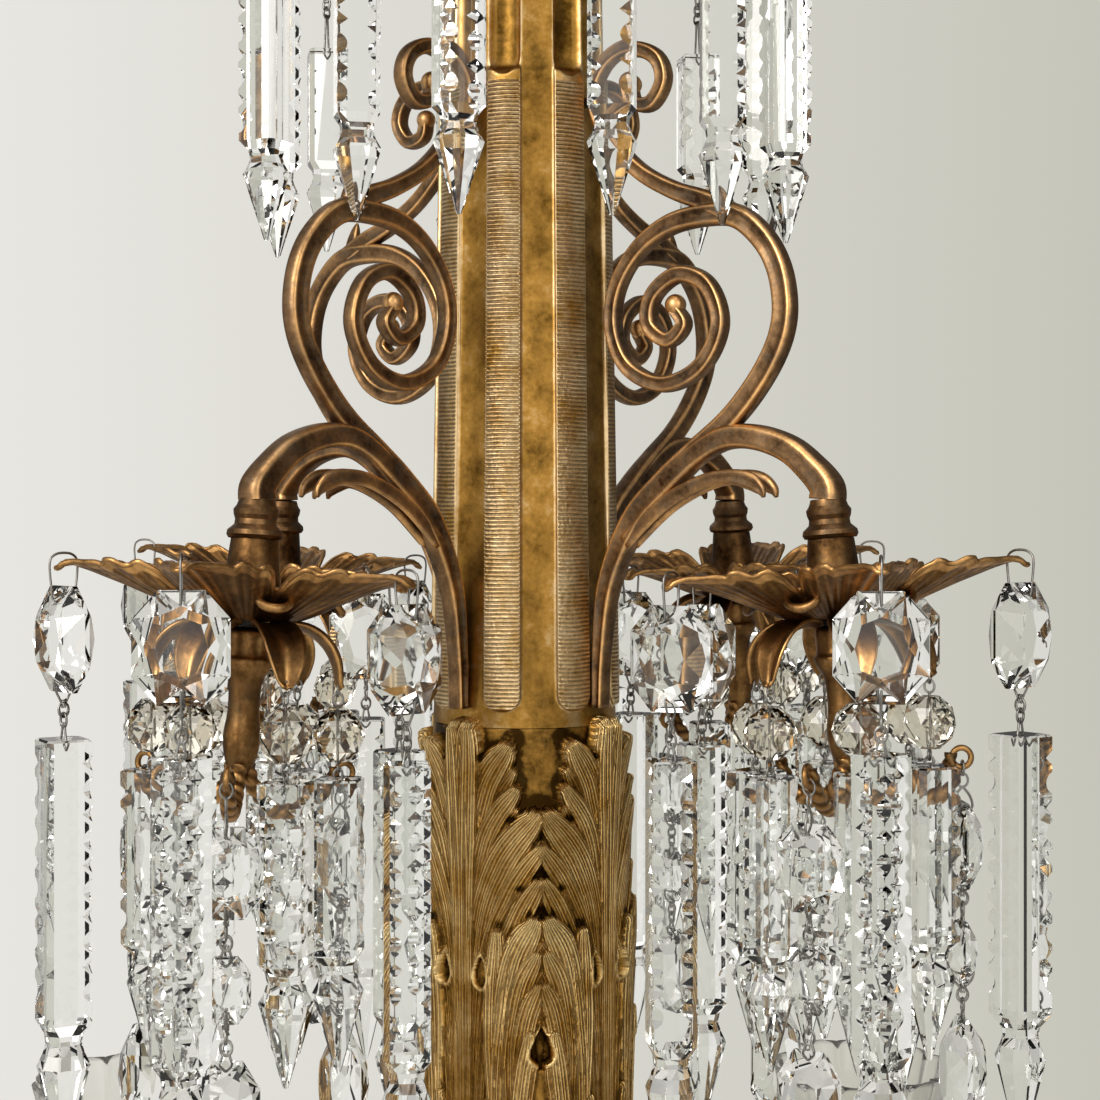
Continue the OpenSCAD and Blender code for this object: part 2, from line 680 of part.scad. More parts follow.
module finial() {
    top = bowl_foot_z;
    foot = bowl_foot_z - finial_h;
    color(brass) difference() {
        turned([
            [0, top], [14, top], [17, top - 4], [10, top - 10], [10, top - 14], [17, top - 24],
            [19, foot + 27], [14, foot + 18], [6, foot + 12], [8, foot + 7], [4, foot + 2],
            [0, foot]]);
        translate([0, 0, top - 16]) cylinder(r = rod_r + fit, h = 20);
    }
}

// Arms: out of the hub, down in one bend and up to the light in the next
function arc(x, z, r, from, to, n) = [
    for (s = [0:n]) let(a = from + (to - from) * s / n) [x + r * cos(a), z + r * sin(a), arm_d, arm_d]];

module light_arms() {
    path = concat(
        [[hub_r - 11, arm_z, arm_d, arm_d]],
        arc(arm_start, arm_z - arm_fall_r, arm_fall_r, 90, 90 - arm_turn, 5),
        arc(light_r - arm_bend, light_z - arm_tail, arm_bend, -89 - arm_turn, 0, 14),
        [[light_r, light_z, arm_d, arm_d]]);
    for (i = [0:3]) color(bronze) rotate([0, 0, 90 * i]) bar(path, 12);
}

// Cups that hold the shades
module shade_galleries() {
    z = light_z;
    at_lights() color(bronze) turned([
        [0, z], [arm_d / 2 + 3, z], [12, z - 3], [15, z], [23, z + 2], [24.5, z + 8], [25.5, z + 16],
        [24, z + 16], [22.6, z + 9], [21.4, z + gallery_floor], [0, z + gallery_floor]]);
}

module glass_shades() {
    z = light_z + gallery_floor;
    rim_z = z + shade_h;
    at_lights() color(glass) turned([
        [17.4, z], [20.4, z], [21, z + 14], [30, z + 30], [39, z + 50], [42, rim_z - 15],
        [46, rim_z], [43.4, rim_z], [39.4, rim_z - 15], [36.4, z + 51], [27.6, z + 31], [18, z + 15]]);
}

module lamp_holders() {
    z = light_z + gallery_floor;
    wall = 4.5;
    r = socket_d / 2 + wall;
    at_lights() color("ivory") difference() {
        turned([[0, z], [r + 2.5, z], [r + 2.5, z + 6], [r, z + 9], [r, z + 34], [0, z + 34]]);
        translate([0, 0, z + 12]) cylinder(d = socket_d, h = 30);
    }
}

suspension_shackle();
shackle_pin();
top_eye();
tie_rod();
rod_nuts();
crown_cap();
crown_dish();
fluted_column();
acanthus_vase();
arm_hub();
bottom_bowl();
finial();
for (i = [0:3]) bracket(i);
bracket_screws();
arm_collars();
dish_nipples();
drop_dishes();
petal_husks();
twisted_hooks();
bead_drops();
centre_drops();
light_arms();
shade_galleries();
glass_shades();
lamp_holders();
for (k = [0:CROWN_DROPS - 1]) translate([crown_r * cos(crown_angles[k]), crown_r * sin(crown_angles[k]), crown_ring_z])
        rotate([0, 0, crown_angles[k]]) crown_drop(k);
for (i = [0:3], k = [0:LEAVES - 1]) at_rim(i, k) swing_drop(rim_spear_l, 47);
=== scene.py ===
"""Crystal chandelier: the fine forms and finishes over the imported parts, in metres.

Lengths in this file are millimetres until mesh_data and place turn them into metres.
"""

import math

import bmesh
import bpy
import numpy as np
from mathutils import Matrix, Vector


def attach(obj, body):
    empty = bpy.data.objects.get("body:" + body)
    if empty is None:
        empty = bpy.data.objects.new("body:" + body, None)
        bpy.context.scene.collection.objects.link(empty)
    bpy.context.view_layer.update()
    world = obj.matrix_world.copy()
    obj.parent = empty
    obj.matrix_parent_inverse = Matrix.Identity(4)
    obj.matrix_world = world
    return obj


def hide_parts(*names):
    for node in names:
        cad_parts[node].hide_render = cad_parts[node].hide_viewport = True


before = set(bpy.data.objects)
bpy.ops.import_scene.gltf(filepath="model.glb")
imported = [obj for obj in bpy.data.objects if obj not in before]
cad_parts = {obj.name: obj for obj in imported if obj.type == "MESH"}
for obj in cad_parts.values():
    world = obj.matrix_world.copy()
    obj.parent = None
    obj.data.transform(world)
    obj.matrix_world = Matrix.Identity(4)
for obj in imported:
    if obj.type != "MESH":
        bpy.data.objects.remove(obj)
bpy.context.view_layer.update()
MM = 0.001
DISHES = ("right", "back", "left", "front")

# Sizes shared with the solids
CROWN_R, CROWN_Z, CROWN_SPEAR = 104.0, -144.0, 113.5
CROWN_ANGLES = [30 * k - 2 + {0: -3.5, 3: -3.5, 6: 7.5, 9: 7.5}.get(k, 0) for k in range(12)]
SHORT_DROPS, SHORT_SPEAR, SHORT_TOP = (3, 6), 86.0, 81.0
DISH_R, DISH_Z, DISH_TILT, RIM_R, LEAF_TURN = 144.5, -445.5, 5.0, 64.5, 28.0
RIM_SPEAR, BEAD_SPEAR, SPEAR_TOP, SPEAR_W = 144.0, 102.0, 60.5, 15.5
OCTAGON_W, OCTAGON_H, OCTAGON_TOP = 31.0, 36.5, 8.0
PETAL_TURN, PETAL_TIP_R, HUSK_FOOT, HOOK_TURN = 13.0, 32.0, 35.0, 43.0
HOOK_RING, RING_FOOT = (40.5, -66.0), -70.6
DATUM_Z = -420.0
LIGHT_R, LIGHT_Z, ARM_Z = 250.0, -781.007, -815.0
# The photograph shows column and vase turned a little against the brackets
COLUMN_TURN = 4.5
# Degrees by which each spear hangs twisted on its wire
SPINS = (4, -38, 14, 31, -9, 42, 2, -20, 8, 6, -5, 36)
# Degrees by which each dish's five octagons hang turned in their bows, as the photograph shows the nearer ones
TWISTS = {"right": (-36, 14, -8, 34, -12), "back": (12, -20, 8, 24, -14), "left": (-10, 16, -26, 6, 18),
          "front": (20, -12, 10, -18, 38)}


# Mesh making

def quads(rows, cols, wrap=False):
    """Faces of a grid of points stored row by row."""
    last = cols if wrap else cols - 1
    i, j = np.meshgrid(np.arange(rows - 1), np.arange(last), indexing="ij")
    k = (j + 1) % cols
    return np.stack([i * cols + j, i * cols + k, (i + 1) * cols + k, (i + 1) * cols + j], -1).reshape(-1, 4).tolist()


def joined(parts):
    """One set of points and faces from several."""
    points, faces = [], []
    for p, f in parts:
        faces += [[v + len(points) for v in face] for face in f]
        points += [tuple(q) for q in p]
    return points, faces


def mesh_data(name, points, faces, finish, smooth=True, marks=None):
    data = bpy.data.meshes.new(name)
    data.from_pydata((np.asarray(points, float) * MM).tolist(), [], faces)
    shape = bmesh.new()
    shape.from_mesh(data)
    bmesh.ops.recalc_face_normals(shape, faces=shape.faces)
    shape.to_mesh(data)
    shape.free()
    for mark, values in (marks or {}).items():
        data.attributes.new(mark, "FLOAT", "POINT").data.foreach_set("value", np.asarray(values, np.float32))
    data.polygons.foreach_set("use_smooth", [smooth] * len(data.polygons))
    data.materials.append(finish)
    data.update()
    return data


def place(name, data, slot, body="chandelier", at=(0, 0, 0), turn=0.0, tilt=0.0, stands_for=()):
    """An object of that mesh at a point in millimetres, turned about Z after a tilt about Y."""
    piece = bpy.data.objects.new(name, data)
    bpy.context.collection.objects.link(piece)
    piece.matrix_world = (Matrix.Translation(Vector(at) * MM) @ Matrix.Rotation(math.radians(turn), 4, "Z")
                          @ Matrix.Rotation(math.radians(tilt), 4, "Y"))
    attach(piece, body)
    if stands_for:
        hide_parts(*stands_for)
    return piece


def spline(points, n):
    """A smooth curve through the points, n steps between neighbours."""
    p = np.asarray(points, float)
    out = []
    for i in range(len(p) - 1):
        a, b, c, d = p[max(i - 1, 0)], p[i], p[i + 1], p[min(i + 2, len(p) - 1)]
        for t in np.arange(n) / n:
            out.append((2 * b + (c - a) * t + (2 * a - 5 * b + 4 * c - d) * t * t
                        + (3 * b - a - 3 * c + d) * t ** 3) / 2)
    return np.array(out + [p[-1]])


def sweep(path, section, side=None, closed=False):
    """A tube along path; section is one or per-point list of (across, side) offsets."""
    path = np.asarray(path, float)
    n = len(path)
    section = np.asarray(section, float)
    if section.ndim == 2:
        section = np.repeat(section[None], n, 0)
    if closed:
        along = np.roll(path, -1, 0) - np.roll(path, 1, 0)
    else:
        along = np.gradient(path, axis=0)
    along /= np.linalg.norm(along, axis=1)[:, None]
    if side is None:
        ref = np.array([0.0, 0.0, 1.0]) if abs(along[0][2]) < 0.9 else np.array([1.0, 0.0, 0.0])
        b = np.cross(along[0], ref)
        sides = []
        for t in along:
            b = b - t * np.dot(b, t)
            b /= np.linalg.norm(b)
            sides.append(b)
        sides = np.array(sides)
    else:
        sides = np.repeat(np.asarray(side, float)[None], n, 0)
    across = np.cross(sides, along)
    m = section.shape[1]
    points = (path[:, None] + across[:, None] * section[..., :1] + sides[:, None] * section[..., 1:]).reshape(-1, 3)
    faces = quads(n + 1 if closed else n, m, True)
    if closed:
        faces = [[v % (n * m) for v in f] for f in faces]
    else:
        faces += [list(range(m - 1, -1, -1)), list(range((n - 1) * m, n * m))]
    return points, faces


def ring_section(r, sides=8):
    t = np.arange(sides) / sides * 2 * math.pi
    return np.stack([r * np.cos(t), r * np.sin(t)], -1)


def turned_grid(radius, heights, angles):
    """Points of a surface of revolution whose radius is a grid over heights and angles."""
    a = np.asarray(angles)[None, :]
    z = np.repeat(np.asarray(heights)[:, None], len(angles), 1)
    return np.stack([radius * np.cos(a), radius * np.sin(a), z], -1).reshape(-1, 3)


def moved(part, at=(0, 0, 0), turn=0.0):
    p, f = part
    p = np.asarray(p, float)
    c, s = math.cos(math.radians(turn)), math.sin(math.radians(turn))
    return np.stack([p[:, 0] * c - p[:, 1] * s, p[:, 0] * s + p[:, 1] * c, p[:, 2]], -1) + np.asarray(at, float), f


# Finishes

def paint(code):
    """An sRGB hex colour as linear RGBA."""
    parts = [int(code[i:i + 2], 16) / 255 for i in (0, 2, 4)]
    return tuple(c / 12.92 if c <= 0.04045 else ((c + 0.055) / 1.055) ** 2.4 for c in parts) + (1.0,)


def add(tree, kind, inputs=None, **settings):
    """Add a node; inputs holds values or other nodes' outputs by socket name or number."""
    made = tree.nodes.new(kind)
    for key, value in settings.items():
        setattr(made, key, value)
    for key, value in (inputs or {}).items():
        if isinstance(value, bpy.types.NodeSocket):
            tree.links.new(value, made.inputs[key])
        else:
            made.inputs[key].default_value = value
    return made


def new_finish(name):
    finish = bpy.data.materials.new(name)
    finish.use_nodes = True
    finish.node_tree.nodes.clear()
    return finish, finish.node_tree


def close_finish(tree, shader):
    add(tree, "ShaderNodeOutputMaterial", {"Surface": shader.outputs[0]})


def cast_metal(name, low, mid, high, patina, patina_amount, rough, grain_mm=0.6, marked=True, chase=False, bump=0.25):
    """Old cast brass or bronze: brown in the hollows, bright where hands and cloths have rubbed it.

    A marked mesh carries a mark from 0 in hollows to 1 on high spots: partly real rubbing and dirt, partly painted
    shade in the hollows and painted highlight on the high spots.
    """
    finish, tree = new_finish(name)
    coord = add(tree, "ShaderNodeTexCoord").outputs["Object"]
    # Cloudy tarnish in patches of about 14 mm, and specks of about 2 mm
    cloud = add(tree, "ShaderNodeTexNoise", {"Vector": coord, "Scale": 70.0, "Detail": 6.0, "Roughness": 0.6})
    speck = add(tree, "ShaderNodeTexNoise", {"Vector": coord, "Scale": 480.0, "Detail": 3.0, "Roughness": 0.7})
    grain = add(tree, "ShaderNodeTexNoise", {"Vector": coord, "Scale": 1000.0 / grain_mm / 2, "Detail": 2.0})
    # A mesh without marks is toned as if its mark of wear and painted shade stood at half
    tone = add(tree, "ShaderNodeMath", {0: cloud.outputs[0], 1: 0.9, 2: -0.45 if marked else -0.07},
               operation="MULTIPLY_ADD")
    tone = add(tree, "ShaderNodeMath", {0: speck.outputs[0], 1: 0.35, 2: tone.outputs[0]}, operation="MULTIPLY_ADD")
    # The mark lightens high spots and darkens hollows: rubbed wear as well as painted highlight and painted shade
    if marked:
        wear_and_shade = add(tree, "ShaderNodeAttribute", attribute_name="wear_and_shade")
        tone = add(tree, "ShaderNodeMath", {0: wear_and_shade.outputs["Fac"], 1: 0.75, 2: tone.outputs[0]},
                   operation="MULTIPLY_ADD")
    ramp = add(tree, "ShaderNodeValToRGB", {0: tone.outputs[0]})
    stops = ramp.color_ramp.elements
    stops[0].position, stops[0].color = 0.22, paint(low)
    stops[1].position, stops[1].color = 0.92, paint(high)
    stops.new(0.52).color = paint(mid)
    # Grey-green bloom where the metal is never rubbed
    bloom = add(tree, "ShaderNodeTexNoise", {"Vector": coord, "Scale": 110.0, "Detail": 5.0, "Roughness": 0.65})
    spread = add(tree, "ShaderNodeMapRange", {"Value": bloom.outputs[0], "From Min": 0.5, "From Max": 0.72,
                                              "To Min": 0.0, "To Max": patina_amount})
    colour = add(tree, "ShaderNodeMix", {0: spread.outputs[0], 6: ramp.outputs[0], 7: paint(patina)}, data_type="RGBA")
    shine = add(tree, "ShaderNodeMapRange", {"Value": tone.outputs[0], "From Min": 0.1, "From Max": 1.0,
                                             "To Min": rough + 0.16, "To Max": rough - 0.05})
    shine = add(tree, "ShaderNodeMath", {0: spread.outputs[0], 1: 0.25, 2: shine.outputs[0]}, operation="MULTIPLY_ADD")
    relief = add(tree, "ShaderNodeBump", {"Height": grain.outputs[0], "Strength": bump, "Distance": 0.0002})
    if chase:
        # Lines struck with a chasing tool about every 1.5 mm, as the rib mark counts them; single
        # strokes of about 1 mm leave each line beaded and uneven
        rib = add(tree, "ShaderNodeAttribute", attribute_name="rib")
        depth = add(tree, "ShaderNodeAttribute", attribute_name="chased")
        stroke = add(tree, "ShaderNodeTexNoise", {"Vector": coord, "Scale": 900.0, "Detail": 1.0})
        wobble = add(tree, "ShaderNodeMath", {0: cloud.outputs[0], 1: 0.5, 2: rib.outputs["Fac"]}, operation="MULTIPLY_ADD")
        wave = add(tree, "ShaderNodeMath", {0: wobble.outputs[0], 1: 2 * math.pi}, operation="MULTIPLY")
        wave = add(tree, "ShaderNodeMath", {0: wave.outputs[0]}, operation="SINE")
        wave = add(tree, "ShaderNodeMath", {0: stroke.outputs[0], 1: 1.6, 2: wave.outputs[0]}, operation="MULTIPLY_ADD")
        wave = add(tree, "ShaderNodeMath", {0: wave.outputs[0], 1: -0.8}, operation="ADD")
        wave = add(tree, "ShaderNodeMath", {0: wave.outputs[0], 1: depth.outputs["Fac"]}, operation="MULTIPLY")
        relief = add(tree, "ShaderNodeBump", {"Height": wave.outputs[0], "Strength": 1.0, "Distance": 0.00022,
                                              "Normal": relief.outputs[0]})
        # Painted shade: the colour is darkened down in each struck line
        groove_shade = add(tree, "ShaderNodeMapRange", {"Value": wave.outputs[0], "From Min": -1.0, "From Max": 0.5,
                                                  "To Min": 0.42, "To Max": 1.0})
        colour = add(tree, "ShaderNodeMix", {0: 1.0, 6: colour.outputs[2], 7: groove_shade.outputs[0]},
                     data_type="RGBA", blend_type="MULTIPLY")
    shader = add(tree, "ShaderNodeBsdfPrincipled", {"Base Color": colour.outputs[2], "Metallic": 1.0,
                                                    "Roughness": shine.outputs[0], "Normal": relief.outputs[0]})
    close_finish(tree, shader)
    return finish


def lead_glass(name, tint, rough=0.0, ior=1.52, ripple=0.0):
    """Cut and polished lead crystal: clear, bright-edged and strongly refracting."""
    finish, tree = new_finish(name)
    coord = add(tree, "ShaderNodeTexCoord").outputs["Object"]
    # Polishing leaves the faces very slightly wavy, about every 9 mm
    wave = add(tree, "ShaderNodeTexNoise", {"Vector": coord, "Scale": 110.0, "Detail": 1.0})
    relief = add(tree, "ShaderNodeBump", {"Height": wave.outputs[0], "Strength": ripple, "Distance": 0.0006})
    haze = add(tree, "ShaderNodeTexNoise", {"Vector": coord, "Scale": 60.0, "Detail": 4.0})
    shine = add(tree, "ShaderNodeMapRange", {"Value": haze.outputs[0], "From Min": 0.45, "From Max": 0.8,
                                             "To Min": rough, "To Max": rough + 0.06})
    shader = add(tree, "ShaderNodeBsdfPrincipled", {"Base Color": paint(tint), "Roughness": shine.outputs[0],
                                                    "IOR": ior, "Transmission Weight": 1.0, "Normal": relief.outputs[0]})
    close_finish(tree, shader)
    return finish


GILT_BRASS = cast_metal("gilt_brass_cast", "5a4018", "ae8848", "f2d294", "7c7048", 0.2, 0.32)
CHASED_BRASS = cast_metal("gilt_brass_chased", "5e4216", "b88a40", "fbe0b0", "84724a", 0.12, 0.32, chase=True)
CARVED_BRASS = cast_metal("brass_carved_acanthus", "3c280d", "b98a40", "f9d592", "7c6a42", 0.12, 0.32, chase=True)
BRONZE = cast_metal("bronze_brown_patina", "3a291c", "947350", "f2bc7a", "757064", 0.45, 0.34)
COPPER_BRONZE = cast_metal("bronze_copper_leaf", "2b1c10", "7c5a34", "e2ae6e", "5c5a4a", 0.3, 0.33)
BRASS_PLAIN = cast_metal("gilt_brass_turned", "5a4018", "a8844a", "ecca8c", "7c7048", 0.2, 0.32, marked=False)
BRONZE_PLAIN = cast_metal("bronze_turned", "2c2016", "62492f", "b08658", "5f5a4e", 0.4, 0.36, marked=False)
IRON = cast_metal("iron_blackened", "232220", "3c3a37", "6d6a64", "4d463c", 0.3, 0.45, marked=False)
STEEL_WIRE = cast_metal("steel_wire_drawn", "5c5a56", "8d8b87", "c5c3be", "7a6a54", 0.2, 0.3, marked=False, bump=0.1)
CLEAR_GLASS = lead_glass("lead_glass_cut", "fbfcfb")
BEAD_GLASS = lead_glass("lead_glass_bead_warm", "f1ece0")
SHADE_GLASS = lead_glass("glass_shade_satin", "f6f5f0", rough=0.28, ior=1.5)


def porcelain():
    """Ivory glazed porcelain of the lamp sockets: a soft white body under a clear glossy coat."""
    finish, tree = new_finish("porcelain_glazed_ivory")
    coord = add(tree, "ShaderNodeTexCoord").outputs["Object"]
    cloud = add(tree, "ShaderNodeTexNoise", {"Vector": coord, "Scale": 90.0, "Detail": 3.0})
    colour = add(tree, "ShaderNodeMix", {0: cloud.outputs[0], 6: paint("e9e2cd"), 7: paint("ddd3b8")}, data_type="RGBA")
    shader = add(tree, "ShaderNodeBsdfPrincipled", {"Base Color": colour.outputs[2], "Roughness": 0.25,
                                                    "Coat Weight": 0.6, "Coat Roughness": 0.08})
    close_finish(tree, shader)
    return finish


PORCELAIN = porcelain()


# Column: eight chased reeds below, eight smooth flutes above

def column():
    """Eight chased reeds with smooth fillets between them, and a flute above each reed."""
    # Point columns follow the reeds' edges: t runs from -1 to 1 over a reed, f over a fillet
    reed_t = np.concatenate([[-1.0, -0.985, -0.95, -0.91], np.linspace(-0.84, 0.84, 15), [0.91, 0.95, 0.985, 1.0]])
    fillet_f = np.linspace(0, 1, 14)[1:-1]
    z = np.concatenate([np.arange(-505, -490, 0.6), np.arange(-490, -262, 2.5), np.arange(-262, -240, 0.6),
                        np.arange(-240, -192, 2.0), np.arange(-192, -174.5, 0.7), np.arange(-174.5, -148, 0.8),
                        [-148.0]])[:, None]
    core_r = 36.5 - 5.5 * (z + 505) / 357
    step = math.pi / 4
    # Half a reed's angle; it narrows round the reed's foot
    foot = np.clip((z + 499) / 6.5, 0, 1)
    half = np.maximum(0.2 * np.sqrt(1 - (1 - foot) ** 2), 0.05)
    t = np.repeat(reed_t[None, :], len(z), 0)
    below = np.clip((-250.5 - z) / 2.0, 0, 1)
    reed = (1.9 - 0.5 * t ** 2) * np.clip((1 - np.abs(t)) / 0.05, 0, 1) ** 0.6 * below * np.clip(foot * 6, 0, 1)
    # The flutes' ends are round
    low, top = np.clip((z + 254) / 8, 0, 1), np.clip((-176 - z) / 8, 0, 1)
    mouth = 0.98 * np.sqrt(1 - (1 - low) ** 2) * np.sqrt(1 - (1 - top) ** 2) + 1e-6
    inside = np.clip(np.abs(t) / mouth, 0, 1)
    flute = -4.2 * np.sqrt(1 - inside ** 2) * np.minimum(low, top) ** 0.5
    fillet = -1.1 * np.sin(math.pi * fillet_f[None, :]) * below * np.clip((z + 504) / 20, 0, 1)
    moulding = np.interp(z[:, 0], [-174.5, -173, -171.5, -170, -168.5, -167, -165, -157, -150, -148],
                         [31.4, 33.4, 34.8, 35.4, 34.8, 33.4, 34.0, 36.4, 38.9, 39.0])[:, None]
    upper = z > -174.5
    radius, angle = [], []
    for k in range(8):
        middle = math.radians(22.5 + COLUMN_TURN) + step * k
        radius += [np.where(upper, moulding, core_r + reed + flute), np.where(upper, moulding, core_r + fillet)]
        angle += [middle + t * half, middle + half + fillet_f[None, :] * (step - 2 * half)]
    radius, angle = np.hstack(radius), np.hstack(angle)
    points = np.stack([radius * np.cos(angle), radius * np.sin(angle), np.repeat(z, radius.shape[1], 1)], -1)
    struck = ((np.abs(t) < 0.93) & (z < -256.5) & (foot > 0.1)).astype(float)
    # Painted highlight and shade: the reeds' edges are lighter, as rubbed wear and painted highlight; the flutes'
    # hollows above the reeds and the fillets' middles are darker, as painted shade
    edge = np.exp(-((np.abs(t) - 0.97) / 0.04) ** 2) * (z > -499)
    reed_wear_and_shade = 0.5 + 0.2 * struck + 0.4 * edge - 0.24 * (inside < 0.7) * (z > -252)
    fillet_wear_and_shade = np.repeat(0.33 + 0.12 * np.abs(fillet_f[None, :] - 0.5), len(z), 0)
    marks = {"rib": np.repeat(z / 1.6, radius.shape[1], 1),
             "chased": np.hstack([struck, np.zeros_like(fillet_wear_and_shade)] * 8),
             "wear_and_shade": np.where(upper, 0.52, np.hstack([reed_wear_and_shade, fillet_wear_and_shade] * 8))}
    data = mesh_data("column_chased", points.reshape(-1, 3), quads(len(z), radius.shape[1], True), CHASED_BRASS,
                     marks={name: values.ravel() for name, values in marks.items()})
    place("column_chased", data, "gilt_brass", stands_for=["fluted_column"])


# Vase: acanthus leaves, drawn as strokes over the turned core

def lobe(start, bends, tip, width, lift, layer=0.0):
    """A leaf lobe as a stroke: points are (degrees, height); lift is how far its tip stands out."""
    return {"path": spline([start, *bends, tip], 8), "width": width, "lift": lift, "layer": layer}


def leaf_strokes():
    strokes = []
    # Tall leaves behind the brackets, at 0 degrees of a 90 degree sector and mirrored
    for s in (1, -1):
        strokes += [
            lobe((1 * s, -745), [(1 * s, -640), (1 * s, -560)], (4 * s, -505), 6.2, 6.4, 1.4),
            lobe((1 * s, -745), [(0, -620), (4 * s, -562), (13 * s, -529)], (26 * s, -513), 6.6, 6.4, 0.9),
            lobe((3 * s, -720), [(5 * s, -600), (13 * s, -551)], (31 * s, -528.5), 4.4, 5.8, 1.2),
            lobe((4 * s, -745), [(5 * s, -650), (10 * s, -586), (23 * s, -557)], (41 * s, -539), 7.2, 6.6, 0.9),
            lobe((6 * s, -745), [(8 * s, -650), (14 * s, -596), (29 * s, -568)], (44 * s, -551), 5.0, 5.6, 1.0),
            lobe((8 * s, -745), [(11 * s, -660), (18 * s, -606), (32 * s, -580)], (43 * s, -564), 5.4, 6.0, 1.0),
            lobe((9 * s, -745), [(14 * s, -670), (22 * s, -618), (32 * s, -596)], (40 * s, -578), 4.0, 4.6, 1.0),
        ]
    # Lower leaves between the brackets: their lobes bow out and come back to the middle
    for s in (1, -1):
        strokes += [
            lobe((45 + 9 * s, -747), [(45 + 17 * s, -685), (45 + 20 * s, -625), (45 + 14 * s, -595)],
                 (45 + 4.5 * s, -579), 6.0, 6.9, 2.5),
            lobe((45 + 8 * s, -747), [(45 + 13 * s, -685), (45 + 16 * s, -632), (45 + 11 * s, -605)],
                 (45 + 3.5 * s, -591), 4.6, 5.6, 2.7),
            lobe((45 + 14 * s, -747), [(45 + 21 * s, -690), (45 + 26 * s, -625)], (45 + 23 * s, -583), 3.8, 4.6, 2.2),
            lobe((45 + 12 * s, -747), [(45 + 20 * s, -690), (45 + 23 * s, -640)], (45 + 15 * s, -586), 3.4, 4.8, 2.2),
            lobe((45 + 7 * s, -747), [(45 + 10 * s, -690), (45 + 12 * s, -640), (45 + 8 * s, -616)],
                 (45 + 2 * s, -603), 4.4, 5.0, 2.9),
            lobe((45 + 7 * s, -747), [(45 + 10 * s, -700), (45 + 12 * s, -655)], (45 + 6.5 * s, -621), 3.6, 4.4, 3.0),
            lobe((45 + 12 * s, -748), [(45 + 22 * s, -722), (45 + 28 * s, -690)], (45 + 28 * s, -648), 4.6, 3.8, 1.2),
        ]
    return strokes


